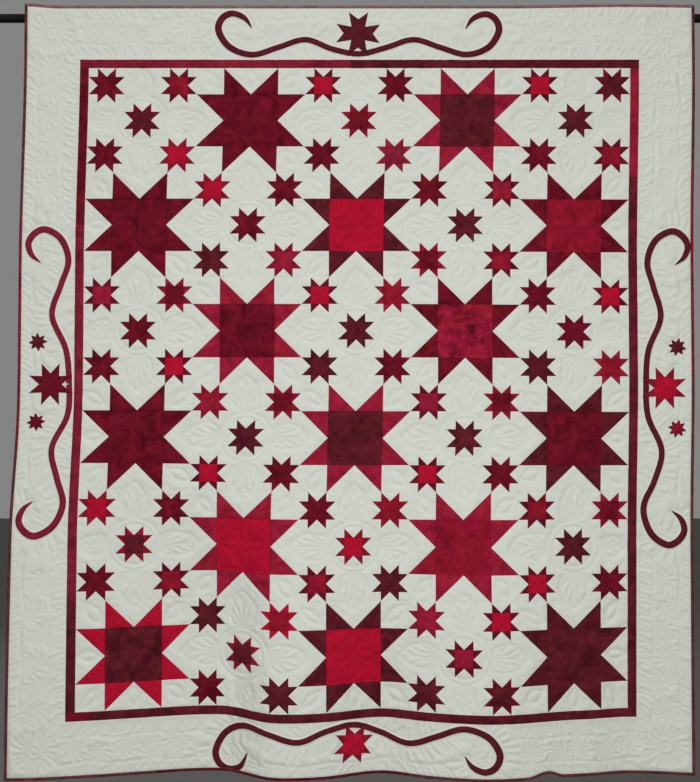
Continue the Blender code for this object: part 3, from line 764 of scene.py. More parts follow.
def border_lines():
    """The quilted swirls, combs and corner rosettes of the border, and the fans off its scrolls."""
    random = np.random.default_rng(3)
    stations = np.concatenate([scroll_stations(row) for row in SCROLLS])
    lines = []
    for corner, along, inward, length in border_sides():
        for line in swirls(length, random) + combs(length, random):
            kept = []
            for s, depth in line:
                u = corner[0] + along[0] * s + inward[0] * depth
                v = corner[1] + along[1] * s + inward[1] * depth
                if np.hypot(stations[:, 0] - u, stations[:, 1] - v).min() > FAN_ROOM:
                    kept.append((u, v))
                elif kept:
                    lines.append(kept)
                    kept = []
            if len(kept) > 1:
                lines.append(kept)
    for u in (CORNER_ROSETTE, WIDTH - CORNER_ROSETTE):
        for v in (CORNER_ROSETTE, HEIGHT - CORNER_ROSETTE):
            lines.append(circle(u, v, ROSETTE_MIDDLE, 16))
            lines += ring_of_strokes(u, v, ROSETTE_RADII, ROSETTE_STROKES, ROSETTE_TWIST, random)
    return lines + fans()


def smooth_way(points, steps):
    """A smooth curve through the points, each a tuple of any length."""
    way = []
    for n in range(len(points) - 1):
        before = points[max(n - 1, 0)]
        start, end = points[n], points[n + 1]
        after = points[min(n + 2, len(points) - 1)]
        for step in range(steps):
            t = step / steps
            way.append(tuple(
                0.5 * (2 * b + (c - a) * t + (2 * a - 5 * b + 4 * c - d) * t ** 2
                       + (3 * b - a - 3 * c + d) * t ** 3)
                for a, b, c, d in zip(before, start, end, after)))
    way.append(tuple(points[-1]))
    return way


def scroll_half(upright, end):
    """The waypoints from a scroll's middle to one of its ends, with that end's changes."""
    rising, crest, falling, neck, hook_along, hook_out, tip = end
    further = {
        "rising": rising, "crest": crest, "falling": falling, "neck": neck, "heel": neck / 2, "tip": tip,
    }
    half = []
    for n, row in enumerate(SCROLL_WAY):
        along, out = row[3:5] if upright else row[1:3]
        on_hook = float(ease((n - HOOK_START) / HOOK_STEPS))
        half.append((along + hook_along * on_hook,
                     out + hook_out * on_hook + further.get(row[0], 0), row[5]))
    return half


def scroll_stations(row):
    """A scroll's stations from tip to tip: u, v, the unit vector across it, and its half width."""
    name, _, middle_u, middle_v, along_axis, out_axis = row
    upright = along_axis[1] == 1
    first, second = (scroll_half(upright, end) for end in SCROLL_ENDS[name])
    other = [(-along, out, width) for along, out, width in reversed(first[1:])]
    way = smooth_way(other + second, SCROLL_STEPS)
    stations = []
    for n, (along, out, width) in enumerate(way):
        before = way[max(n - 1, 0)]
        after = way[min(n + 1, len(way) - 1)]
        run, climb = after[0] - before[0], after[1] - before[1]
        length = hypot(run, climb)
        a, b = -climb / length, run / length
        stations.append((
            middle_u + along * along_axis[0] + out * out_axis[0],
            middle_v + along * along_axis[1] + out * out_axis[1],
            a * along_axis[0] + b * out_axis[0],
            a * along_axis[1] + b * out_axis[1],
            width,
        ))
    return np.array(stations)


def shaped(row, x, y):
    """A plain star's places, in quarters of its width, moved to this star's own outline."""
    end, corner, notch = row[6:]
    far, near = np.maximum(np.abs(x), np.abs(y)), np.minimum(np.abs(x), np.abs(y))
    past = np.maximum(far - 1, 0)
    new_near = (near - past) * corner + past * end
    new_far = (near - past) * corner + np.where(far > 1, 1 - near, far - near) * notch + past * 2
    wide = np.abs(x) >= np.abs(y)
    new_x = np.sign(x) * np.where(wide, new_far, new_near)
    new_y = np.sign(y) * np.where(wide, new_near, new_far)
    return new_x, new_y


def placed(row, x, y, grown=0.0):
    """A star's own places on the quilt, u and v, with each of its units grown by this much."""
    middle_u, middle_v, width, turn = row[2:6]
    unit = width / STAR_UNITS + grown
    angle = radians(turn)
    return (middle_u + unit * (x * cos(angle) - y * sin(angle)),
            middle_v + unit * (x * sin(angle) + y * cos(angle)))


def star_tip(row):
    """How far a star's points reach, in its units."""
    return 1 + (BLUNT if row[4] < SMALL_STAR else 1.0)


def star_outline(row, grown=0.0):
    """A star's outline on the quilt, with each of its units grown by this much."""
    x, y = np.array(STAR_RIM, dtype=float).T
    x, y = shaped(row, x, y)
    tip = star_tip(row)
    u, v = placed(row, np.clip(x, -tip, tip), np.clip(y, -tip, tip), grown)
    return list(zip(u, v))


def in_star(row, u, v, grown):
    """Which places lie in an appliqued star whose units are grown by this much."""
    outline = star_outline(row, grown)
    inside = np.zeros(len(u), dtype=bool)
    for (u_one, v_one), (u_two, v_two) in zip(outline, outline[1:]):
        if v_one == v_two:
            continue
        crosses = (v_one > v) != (v_two > v)
        inside ^= crosses & (u < (u_two - u_one) * (v - v_one) / (v_two - v_one) + u_one)
    return inside


def echo_lines():
    """The lines that are quilted close round each appliqued shape."""
    lines = []
    for row in SCROLLS:
        stations = scroll_stations(row)
        for side in (-1, 1):
            off = side * (stations[:, 4] + SCROLL_ECHO)
            u, v = stations[:, 0] + off * stations[:, 2], stations[:, 1] + off * stations[:, 3]
            lines.append(list(zip(u, v)))
    for row in BORDER_STARS:
        lines.append(star_outline(row, STAR_ECHO))
    return lines


def way_along(points):
    """How far along a line each of its points lies."""
    return np.concatenate([[0.0], np.cumsum(np.hypot(*np.diff(points, axis=0).T))])


def sampled(lines):
    """The lines as places a step apart, with whether each joins the next."""
    places, joined = [], []
    for line in lines:
        line = np.asarray(line, dtype=float)
        gone = way_along(line)
        count = max(1, int(np.ceil(gone[-1] / STITCHED_STEP)))
        at = np.union1d(gone, np.linspace(0, gone[-1], count + 1))
        places.append(np.stack([np.interp(at, gone, line[:, 0]), np.interp(at, gone, line[:, 1])], axis=1))
        joined.append(np.arange(len(at)) < len(at) - 1)
    return np.concatenate(places), np.concatenate(joined)


def clear_of_applique(places):
    """Which places lie outside every appliqued shape and its echo line."""
    u, v = places.T
    clear = np.ones(len(u), dtype=bool)
    for row in SCROLLS:
        stations = scroll_stations(row)
        middle_u, middle_v = stations[:, :2].mean(axis=0)
        near = (np.abs(u - middle_u) < SCROLL_NEAR) & (np.abs(v - middle_v) < SCROLL_NEAR)
        off = np.hypot(u[near, None] - stations[None, :, 0], v[near, None] - stations[None, :, 1])
        clear[near] &= (off - stations[None, :, 4]).min(axis=1) > CLEAR_OF_SCROLL
    for row in BORDER_STARS:
        clear &= ~in_star(row, u, v, CLEAR_OF_STAR)
    return clear


def tree_of(places):
    tree = KDTree(len(places))
    for n, (u, v) in enumerate(places):
        tree.insert((u, v, 0.0), n)
    tree.balance()
    return tree


@functools.cache
def sewn_lines(kind):
    """A finder of the nearest sewn line: the patchwork's seams, or the quilting and the binding's seam."""
    if kind == "seams":
        places, joined = sampled(seam_lines())
    else:
        places, joined = sampled(block_lines() + border_lines())
        clear = clear_of_applique(places)
        joined[:-1] &= clear[1:]
        places, joined = places[clear], (joined & clear)[clear]
        echo, echo_joined = sampled(echo_lines() + [rectangle(BINDING)])
        places = np.concatenate([places, echo])
        joined = np.concatenate([joined, echo_joined])
    return tree_of(places), places, joined


def to_piece(place, start, end):
    """How far each place lies from its own straight piece of line."""
    run = end - start
    length = np.maximum((run ** 2).sum(axis=1), 1e-12)
    t = np.clip(((place - start) * run).sum(axis=1) / length, 0, 1)
    return np.hypot(*(place - start - run * t[:, None]).T)


def distance_to_line(u, v, kind):
    """How far each flat place lies from the nearest sewn line."""
    tree, places, joined = sewn_lines(kind)
    nearest = np.array([tree.find((a, b, 0.0))[1] for a, b in zip(u.tolist(), v.tolist())])
    place = np.stack([u, v], axis=1)
    after = np.where(joined[nearest], np.minimum(nearest + 1, len(places) - 1), nearest)
    before_one = np.maximum(nearest - 1, 0)
    before = np.where(joined[before_one] & (nearest > 0), before_one, nearest)
    return np.minimum(to_piece(place, places[nearest], places[after]),
                      to_piece(place, places[before], places[nearest]))


def pucker(u, v):
    """Small unevenness of the cloth, from -1 to 1."""
    total = np.zeros_like(u)
    random = np.random.default_rng(11)
    for wave in PUCKER_WAVES:
        for _ in range(3):
            turn, start = random.uniform(0, 2 * pi, 2)
            total += np.sin((u * cos(turn) + v * sin(turn)) * 2 * pi / wave + start)
    return total / len(PUCKER_WAVES)


def swelling(distance):
    """How much of the wadding's swell is left at this distance from a sewn line, 0 to 1."""
    size = sizes()
    rounded = np.hypot(distance, size.line) - size.line
    return 1 - np.exp(-rounded / size.dip)


def face_level(u, v):
    """How far the quilt's face stands off its back."""
    size = sizes()
    swollen = swelling(distance_to_line(u, v, "quilting"))
    near_seams = 1 - size.seam_share * (1 - swelling(distance_to_line(u, v, "seams")))
    uneven = pucker(u, v)
    return size.seam_level + (size.puff * near_seams * (1 + PUFF_CHANGE * uneven) + size.pucker * uneven) * swollen


def back_level(u, v):
    """How far the quilt's back is drawn in at its quilted lines."""
    return BACK_DRAWN * np.exp(-(distance_to_line(u, v, "quilting") / BACK_DIP) ** 2)


# Colours of the patches

def cloth_colour(letter):
    """A cloth's colour, and how mottled it is."""
    return (*getattr(colours(), CLOTH_LETTERS[letter]), MOTTLING[letter])


def one_cloth(letter, count):
    """The same cloth at so many places."""
    return np.tile(cloth_colour(letter), (count, 1))


def colour_table():
    """Each star's two cloths in the blocks, by column and row, patch, and middle or point."""
    table = np.zeros((COLUMNS, ROWS, PATCHES, PATCHES, 2, 4))
    for row, cells in enumerate(CHART):
        for column, cell in enumerate(cells):
            stars = cell.split()
            for n, star in enumerate(stars):
                pair = [cloth_colour(letter) for letter in star]
                if is_large(column, row):
                    table[column, row, :, :] = pair
                else:
                    across, down = SMALL_STARS[n]
                    table[column, row, across, down] = pair
    return table


def block_colours(u, v):
    """The cloths at these flat places in the blocks."""
    x, y = (u - EDGE) / INCH, (v - EDGE) / INCH
    column = np.clip((x // BLOCK).astype(int), 0, COLUMNS - 1)
    row = np.clip((y // BLOCK).astype(int), 0, ROWS - 1)
    x, y = x - column * BLOCK, y - row * BLOCK
    large = (column + row) % 2 == 1
    patch = BLOCK // PATCHES
    across = np.clip((x // patch).astype(int), 0, PATCHES - 1)
    down = np.clip((y // patch).astype(int), 0, PATCHES - 1)
    middle_x = np.where(large, BLOCK / 2, (across + 0.5) * patch)
    middle_y = np.where(large, BLOCK / 2, (down + 0.5) * patch)
    unit = np.where(large, BLOCK / STAR_UNITS, patch / STAR_UNITS)
    a, b = np.abs(x - middle_x) / unit, np.abs(y - middle_y) / unit
    far, near = np.maximum(a, b), np.minimum(a, b)
    has_star = large | ((across + down) % 2 == 0)
    middle = has_star & (far < 1)
    point = has_star & (far > 1) & (near > far - 1) & (near < 1)
    table = colour_table()
    colour = one_cloth("W", len(u))
    colour[middle] = table[column, row, across, down, 0][middle]
    colour[point] = table[column, row, across, down, 1][point]
    return colour


def length_colours(lengths, side, along):
    """The cloth of a strip or binding at each place along it."""
    ends = [(end, letter) for name, end, letter in lengths if name == side]
    colour = one_cloth(ends[-1][1], len(along))
    for end, letter in reversed(ends):
        colour[along < end] = cloth_colour(letter)
    return colour


def border_colours(u, v):
    """The white border's cloth, and the narrow strip's inside it."""
    colour = one_cloth("W", len(u))
    inset = BINDING + BORDER
    in_strip = (u > inset) & (u < WIDTH - inset) & (v > inset) & (v < HEIGHT - inset)
    sides = (
        ("left", u < EDGE, v), ("right", u > FIELD_RIGHT, v),
        ("top", v < EDGE, u), ("bottom", v > FIELD_FOOT, u),
    )
    for side, here, along in sides:
        here = here & in_strip
        colour[here] = length_colours(STRIP_LENGTHS, side, along[here])
    return colour


def back_colours(u, _):
    """The back's one cloth."""
    return one_cloth("L", len(u))


# Meshes

def grid_of(bm, across, down):
    """A flat sheet with its points on the given lines, as a table of its points by line numbers."""
    columns, rows = len(across) - 1, len(down) - 1
    made = bmesh.ops.create_grid(bm, x_segments=columns, y_segments=rows, size=1)
    table = {}
    for vert in made["verts"]:
        i = round((vert.co.x + 1) / 2 * columns)
        j = round((vert.co.y + 1) / 2 * rows)
        vert.co = (across[i], down[j], 0.0)
        table[i, j] = vert
    return table


def mesh_of(bm, name):
    """A new mesh from a bmesh, which is then freed."""
    mesh = bpy.data.meshes.new(name)
    bm.to_mesh(mesh)
    bm.free()
    return mesh


def flat_points(mesh):
    flat = np.empty(len(mesh.vertices) * 3)
    mesh.vertices.foreach_get("co", flat)
    return flat.reshape(-1, 3)


def face_middles(mesh, flat):
    """The middle of each face, from its corners."""
    corners = np.empty(len(mesh.loops), dtype=int)
    mesh.loops.foreach_get("vertex_index", corners)
    starts = np.empty(len(mesh.polygons), dtype=int)
    totals = np.empty(len(mesh.polygons), dtype=int)
    mesh.polygons.foreach_get("loop_start", starts)
    mesh.polygons.foreach_get("loop_total", totals)
    return np.add.reduceat(flat[corners], starts, axis=0) / totals[:, None]


def numbered_sheet(name, columns, rows):
    """A sheet of so many faces across and down, and the column and the row of each of its points."""
    bm = bmesh.new()
    grid_of(bm, range(columns + 1), range(rows + 1))
    mesh = mesh_of(bm, name)
    column, row = flat_points(mesh)[:, :2].round().astype(int).T
    return mesh, column, row


def connect_slants(bm, table, corners):
    """Runs edges along the slanting seams of stars, each given as its corner and unit in cells."""
    slanted = set()
    for left, top, unit in corners:
        for start, end in STAR_SLANTS:
            for n in range(unit + 1):
                i = left + start[0] * unit + (end[0] - start[0]) * n
                j = top + start[1] * unit + (end[1] - start[1]) * n
                slanted.add((i, j))
    bmesh.ops.connect_verts(bm, verts=[table[place] for place in sorted(slanted)])


def reading_order(place):
    """A number that puts a small flat sheet's places in order: by level, then down, then across."""
    return place.x + 1e3 * place.y + 1e6 * place.z


def waved(along, waves):
    """The sum of some waves at each place."""
    total = np.zeros_like(along)
    for height, length, start in waves:
        total += height * np.sin(along * 2 * pi / length + start)
    return total


def add_map(mesh, name, places):
    """A UV map with each vertex at its place."""
    corners = np.empty(len(mesh.loops), dtype=int)
    mesh.loops.foreach_get("vertex_index", corners)
    layer = mesh.uv_layers.new(name=name)
    layer.uv.foreach_set("vector", places[corners].astype(np.float32).ravel())


def lay_maps(mesh, places):
    """The map that the weave follows, in metres, and the same map filling a square."""
    add_map(mesh, "cloth", places)
    low, high = places.min(axis=0), places.max(axis=0)
    add_map(mesh, "OFBake", (places - low) / (high - low))


def mark_points(mesh, name, values):
    """Gives each point a number that the finish reads."""
    layer = mesh.attributes.new(name, "FLOAT", "POINT")
    layer.data.foreach_set("value", values.astype(np.float32))


def dye_faces(mesh, colour):
    """Gives each face the cloth that the finish reads."""
    layer = mesh.attributes.new("dye", "FLOAT_COLOR", "FACE")
    layer.data.foreach_set("color", colour.astype(np.float32).ravel())


def place_points(mesh, points):
    mesh.vertices.foreach_set("co", points.astype(np.float32).ravel())


def add_cloth(name, mesh, flat, material, replaced, flipped):
    """Hangs a sheet of cloth by its flat places, and gives it its finish."""
    place_points(mesh, hung(flat))
    if flipped:
        mesh.flip_normals()
    mesh.shade_smooth()
    mesh.update()
    mesh.materials.append(material)
    return add_piece(name, mesh, [replaced])


def add_panel(name, columns, rows, level, colour, material, flipped=False, corners=()):
    """Adds a sheet of the quilt between these lines, with edges along the slants of its stars."""
    bm = bmesh.new()
    table = grid_of(bm, columns, rows)
    if corners:
        connect_slants(bm, table, corners)
    mesh = mesh_of(bm, name)
    flat = flat_points(mesh)
    u, v = flat[:, 0], flat[:, 1]
    lay_maps(mesh, flat[:, :2])
    # How far each point lies from a seam, which the finish reads for the painted shade along the seams
    mark_points(mesh, "seam", distance_to_line(u, v, "seams"))
    middles = face_middles(mesh, flat)
    dye_faces(mesh, colour(middles[:, 0], middles[:, 1]))
    return add_cloth(name, mesh, np.stack([u, v, level(u, v)], axis=1), material, "quilt", flipped)


def add_piece(name, mesh, replaced):
    made = bpy.data.objects.new(name, mesh)
    bpy.context.scene.collection.objects.link(made)
    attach(made, "root")
    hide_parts(*replaced)
    return made


def even_lines(start, end, count):
    return list(np.linspace(start, end, count + 1))


def joined_lines(*runs):
    """Runs of lines end to end, each place once."""
    lines = list(runs[0])
    for run in runs[1:]:
        lines += run[1:]
    return lines


def cells_over(length, cells_an_inch):
    return max(1, round(length / INCH * cells_an_inch))


# Finishes

class Nodes:
    """Builds a material's nodes, one call each."""

    def __init__(self, name):
        self.material = bpy.data.materials.new(name)
        self.material.use_nodes = True
        self.tree = self.material.node_tree
        self.shader = self.tree.nodes["Principled BSDF"]

    def add(self, kind, settings=None, **inputs):
        node = self.tree.nodes.new(kind)
        for name, value in (settings or {}).items():
            setattr(node, name, value)
        for name, value in inputs.items():
            self.put(node, name.replace("_", " "), value)
        return node

    def put(self, node, name, value):
        """Sets a socket, by its name or number, to a value or to another node's output."""
        socket = node.inputs[int(name)] if name.isdigit() else node.inputs[name]
        if isinstance(value, bpy.types.NodeSocket):
            self.tree.links.new(value, socket)
        else:
            socket.default_value = value

    def math(self, operation, first, second=0.0, third=0.0):
        node = self.add("ShaderNodeMath", {"operation": operation})
        for n, value in enumerate((first, second, third)):
            self.put(node, str(n), value)
        return node.outputs[0]

    def noise(self, vector, scale, detail=2.0, roughness=0.5, distortion=0.0):
        node = self.add("ShaderNodeTexNoise", Scale=scale, Detail=detail, Roughness=roughness,
                        Distortion=distortion, Vector=vector)
        return node.outputs["Fac"]

    def ranged(self, value, low, high, to_low, to_high, smooth=False):
        node = self.add("ShaderNodeMapRange", {"interpolation_type": "SMOOTHSTEP" if smooth else "LINEAR"})
        for n, part in enumerate((value, low, high, to_low, to_high)):
            self.put(node, str(n), part)
        return node.outputs[0]

    def tinted(self, colour, factor):
        """A colour times a number."""
        node = self.add("ShaderNodeVectorMath", {"operation": "SCALE"})
        self.put(node, "0", colour)
        self.put(node, "Scale", factor)
        return node.outputs["Vector"]

    def multiplied(self, colour, by):
        """A colour times another, channel by channel."""
        node = self.add("ShaderNodeVectorMath", {"operation": "MULTIPLY"})
        self.put(node, "0", colour)
        self.put(node, "1", by)
        return node.outputs["Vector"]

    def blend(self, factor, first, second):
        node = self.add("ShaderNodeMix", {"data_type": "RGBA"})
        self.put(node, "0", factor)
        self.put(node, "6", first)
        self.put(node, "7", second)
        return node.outputs[2]

    def bump(self, height, distance, before=None):
        node = self.add("ShaderNodeBump", Height=height, Distance=distance, Strength=1.0)
        if before is not None:
            self.put(node, "Normal", before)
        return node.outputs["Normal"]

    def bands(self, vector, way, length):
        """Even bands across one way, each of this length."""
        node = self.add("ShaderNodeTexWave", {"wave_type": "BANDS", "bands_direction": way},
                        Scale=2 * pi / (20 * length), Vector=vector, Distortion=0.0)
        return node.outputs["Fac"]

    def weave(self, vector, thread):
        """Threads over and under each other."""
        threads = self.math("MULTIPLY", self.bands(vector, "X", thread), self.bands(vector, "Y", thread))
        return self.bump(threads, THREAD_HEIGHT)

    def attribute(self, name):
        return self.add("ShaderNodeAttribute", {"attribute_name": name}).outputs

    def cloth_map(self):
        return self.add("ShaderNodeUVMap", {"uv_map": "cloth"}).outputs["UV"]

    def finish(self, **inputs):
        """Sets the shader's sockets, and gives back the material."""
        for name, value in inputs.items():
            self.put(self.shader, name.replace("_", " "), value)
        return self.material


def cotton(name):
    """Quilting cotton: a fine weave, blotched dyes in the reds, and a painted shade along their seams."""
    nodes = Nodes(name)
    where = nodes.cloth_map()
    dye = nodes.attribute("dye")
    colour, mottled = dye["Color"], dye["Alpha"]
    blotches = nodes.ranged(nodes.noise(where, 26, 3.0, 0.6, 0.8), 0.30, 0.70, 0.36, 1.64)
    specks = nodes.ranged(nodes.noise(where, 170, 2.0, 0.6, 0.4), 0.25, 0.75, 0.84, 1.16)
    plain = nodes.ranged(nodes.noise(where, 22, 3.0, 0.6), 0.3, 0.7, 0.975, 1.02)
    shade = nodes.add("ShaderNodeMix", {"data_type": "FLOAT"})
    nodes.put(shade, "0", mottled)
    nodes.put(shade, "2", plain)
    nodes.put(shade, "3", nodes.math("MULTIPLY", blotches, specks))
    # A painted shade along the seams, darker within about 2 mm of them, for the shade in the seams' dips;
    # only the dyed cloths get it, the white ones none
    near_seams = nodes.ranged(nodes.attribute("seam")["Fac"], 0.0003, 0.0022, 0.82, 1.0, smooth=True)
    near_seams = nodes.math("MAXIMUM", near_seams, nodes.math("LESS_THAN", mottled, 0.05))
    tone = nodes.ranged(nodes.noise(where, 17, 2.0, 0.5, 0.5), 0.35, 0.65, 0.0, 1.0)
    toned = nodes.blend(tone, nodes.multiplied(colour, BROWNER), nodes.multiplied(colour, PINKER))
    dyed = nodes.blend(mottled, colour, toned)
    creases = nodes.noise(where, 260, 4.0, 0.65, 0.3)
    # The base colour is the dyed cloth with its own tone, times the painted shade along the seams
    return nodes.finish(
        Base_Color=nodes.tinted(dyed, nodes.math("MULTIPLY", shade.outputs[0], near_seams)),
        Normal=nodes.bump(creases, CREASE_HEIGHT, nodes.weave(where, sizes().thread)),
        Roughness=0.9, Specular_IOR_Level=0.06)


def applique_cotton(name, letters):
    """Dyed cotton with close stitches over its turned edge, and a painted shade along that edge."""
    nodes = Nodes(name)
    where = nodes.cloth_map()
    edge = nodes.attribute("edge")["Fac"]
    inner = nodes.attribute("middle")["Fac"]
    blotches = nodes.ranged(nodes.noise(where, 48, 3.0, 0.6, 0.8), 0.30, 0.70, 0.74, 1.26)
    specks = nodes.ranged(nodes.noise(where, 180, 2.0, 0.6, 0.4), 0.25, 0.75, 0.88, 1.12)
    shade = nodes.math("MULTIPLY", blotches, specks)
    # A painted shade along the turned edge, darker within about 2 mm of the rim, where the cloth turns down
    shade = nodes.math("MULTIPLY", shade, nodes.ranged(edge, 0.0012, 0.0020, 0.86, 1.0, smooth=True))
    middle, points = (cloth_colour(letter)[:3] + (1.0,) for letter in letters)
    thread = nodes.bands(where, "DIAGONAL", STITCH_SPACING)
    on_edge = nodes.ranged(edge, 0.0010, 0.0022, 1.0, 0.0, smooth=True)
    stitches = nodes.math("MULTIPLY", thread, on_edge)
    return nodes.finish(
        Base_Color=nodes.tinted(nodes.blend(inner, points, middle), shade),
        Normal=nodes.bump(stitches, STITCH_HEIGHT, nodes.weave(where, sizes().thread)),
        Roughness=0.86, Specular_IOR_Level=0.08)


def rod_paint():
    """Satin black paint, slightly uneven and a little worn."""
    nodes = Nodes("satin black paint")
    where = nodes.add("ShaderNodeTexCoord").outputs["Object"]
    grain = nodes.noise(where, 130, 3.0, 0.6)
    worn = nodes.ranged(nodes.noise(where, 19, 4.0, 0.7), 0.45, 0.75, 1.0, 1.9, smooth=True)
    return nodes.finish(
        Base_Color=nodes.tinted((*colours().rod,), worn), Normal=nodes.bump(grain, 0.00012),
        Roughness=nodes.ranged(grain, 0.3, 0.7, 0.40, 0.58), Specular_IOR_Level=0.2)


def floor_finish():
    """A plain grey floor, barely uneven."""
    nodes = Nodes("grey floor")
    where = nodes.add("ShaderNodeTexCoord").outputs["Object"]
    shade = nodes.ranged(nodes.noise(where, 1.3, 4.0, 0.6), 0.3, 0.7, 0.97, 1.02)
    return nodes.finish(Base_Color=nodes.tinted((*colours().floor,), shade), Roughness=0.75)


# Operators

class QUILT_OT_blocks(bpy.types.Operator):
    """Pieces the star blocks, one sheet for each row of them"""

    bl_idname = "quilt.blocks"
    bl_label = "Star blocks"

    def execute(self, context):
        cells = sizes().cells
        across = even_lines(EDGE, FIELD_RIGHT, COLUMNS * BLOCK * cells)
        material = cotton("pieced cotton")
        for row in range(ROWS):
            top = EDGE + row * BLOCK * INCH
            down = even_lines(top, top + BLOCK * INCH, BLOCK * cells)
            corners = [(left * cells, (corner - row * BLOCK) * cells, unit * cells)
                       for left, corner, unit in star_places() if corner // BLOCK == row]
            made = add_panel(f"blocks_row_{row + 1}", across, down, face_level, block_colours, material,
                             flipped=True, corners=corners)
        return {"FINISHED"}


class QUILT_OT_borders(bpy.types.Operator):
    """Adds the narrow red strip and the wide white border on each side"""

    bl_idname = "quilt.borders"
    bl_label = "Borders"

    def execute(self, context):
        cells = sizes().cells
        inset = BINDING + BORDER
        low_border = even_lines(BINDING, inset, cells_over(BORDER, cells))
        low_strip = even_lines(inset, EDGE, cells_over(STRIP, cells))
        field_across = even_lines(EDGE, FIELD_RIGHT, COLUMNS * BLOCK * cells)
        field_down = even_lines(EDGE, FIELD_FOOT, ROWS * BLOCK * cells)

        def far(lines, length):
            return [length - place for place in reversed(lines)]

        across = joined_lines(low_border, low_strip, field_across,
                              far(low_strip, WIDTH), far(low_border, WIDTH))
        near = joined_lines(low_border, low_strip)
        panels = (
            ("border_top", across, near),
            ("border_bottom", across, far(near, HEIGHT)),
            ("border_left", near, field_down),
            ("border_right", far(near, WIDTH), field_down),
        )
        material = cotton("border cotton")
        for name, columns, rows in panels:
            made = add_panel(name, columns, rows, face_level, border_colours, material,
                             flipped=True)
        return {"FINISHED"}


class QUILT_OT_backing(bpy.types.Operator):
    """Adds the plain back, drawn in where the quilting goes through"""

    bl_idname = "quilt.backing"
    bl_label = "Backing"

    def execute(self, context):
        cells = sizes().back_cells
        material = cotton("backing cotton")
        across = even_lines(BINDING, WIDTH - BINDING, cells_over(WIDTH - 2 * BINDING, cells))
        halves = (("backing_upper", BINDING, HEIGHT / 2), ("backing_lower", HEIGHT / 2, HEIGHT - BINDING))
        for name, start, end in halves:
            down = even_lines(start, end, cells_over(end - start, cells))
            made = add_panel(name, across, down, back_level, back_colours, material)
        return {"FINISHED"}


class QUILT_OT_bindings(bpy.types.Operator):
    """Rolls the red binding round the four edges"""

    bl_idname = "quilt.bindings"
    bl_label = "Bindings"

    def execute(self, context):
        material = cotton("binding cotton")
        sides = (
            ("top", WIDTH, lambda along, depth: (along, depth), False),
            ("bottom", WIDTH, lambda along, depth: (along, HEIGHT - depth), True),
            ("left", HEIGHT, lambda along, depth: (depth, along), True),
            ("right", HEIGHT, lambda along, depth: (WIDTH - depth, along), False),
        )
        for side, length, place, flipped in sides:
            self.roll(side, length, place, flipped, material)
        return {"FINISHED"}

    def roll(self, side, length, place, flipped, material):
        name = f"binding_{side}_roll"
        roll = np.array(BINDING_ROLL)
        steps, last = int(length / ROLL_STEP), len(roll) - 1
        mesh, station, ring = numbered_sheet(name, steps, last)
        depth, level = roll[ring].T
        along = depth + (length - 2 * depth) * (station / steps)
        way = way_along(roll)
        on_face = (ring > 0) & (ring < last) & (level > ROLL_FACE)
        level = level + np.where(on_face, waved(along, ROLL_WAVES), 0.0)
        lay_maps(mesh, np.stack([along, way[ring]], axis=1))
        # How far each point lies from the binding's seams, which the finish reads for the painted shade along
        # them
        mark_points(mesh, "seam", np.minimum(way[ring], way[-1] - way[ring]))
        middles = face_middles(mesh, np.stack([along, depth, level], axis=1))
        dye_faces(mesh, length_colours(BINDING_LENGTHS, side, middles[:, 0]))
        u, v = place(along, depth)
        made = add_cloth(name, mesh, np.stack([u, v, level], axis=1), material, f"binding_{side}",
                         flipped)


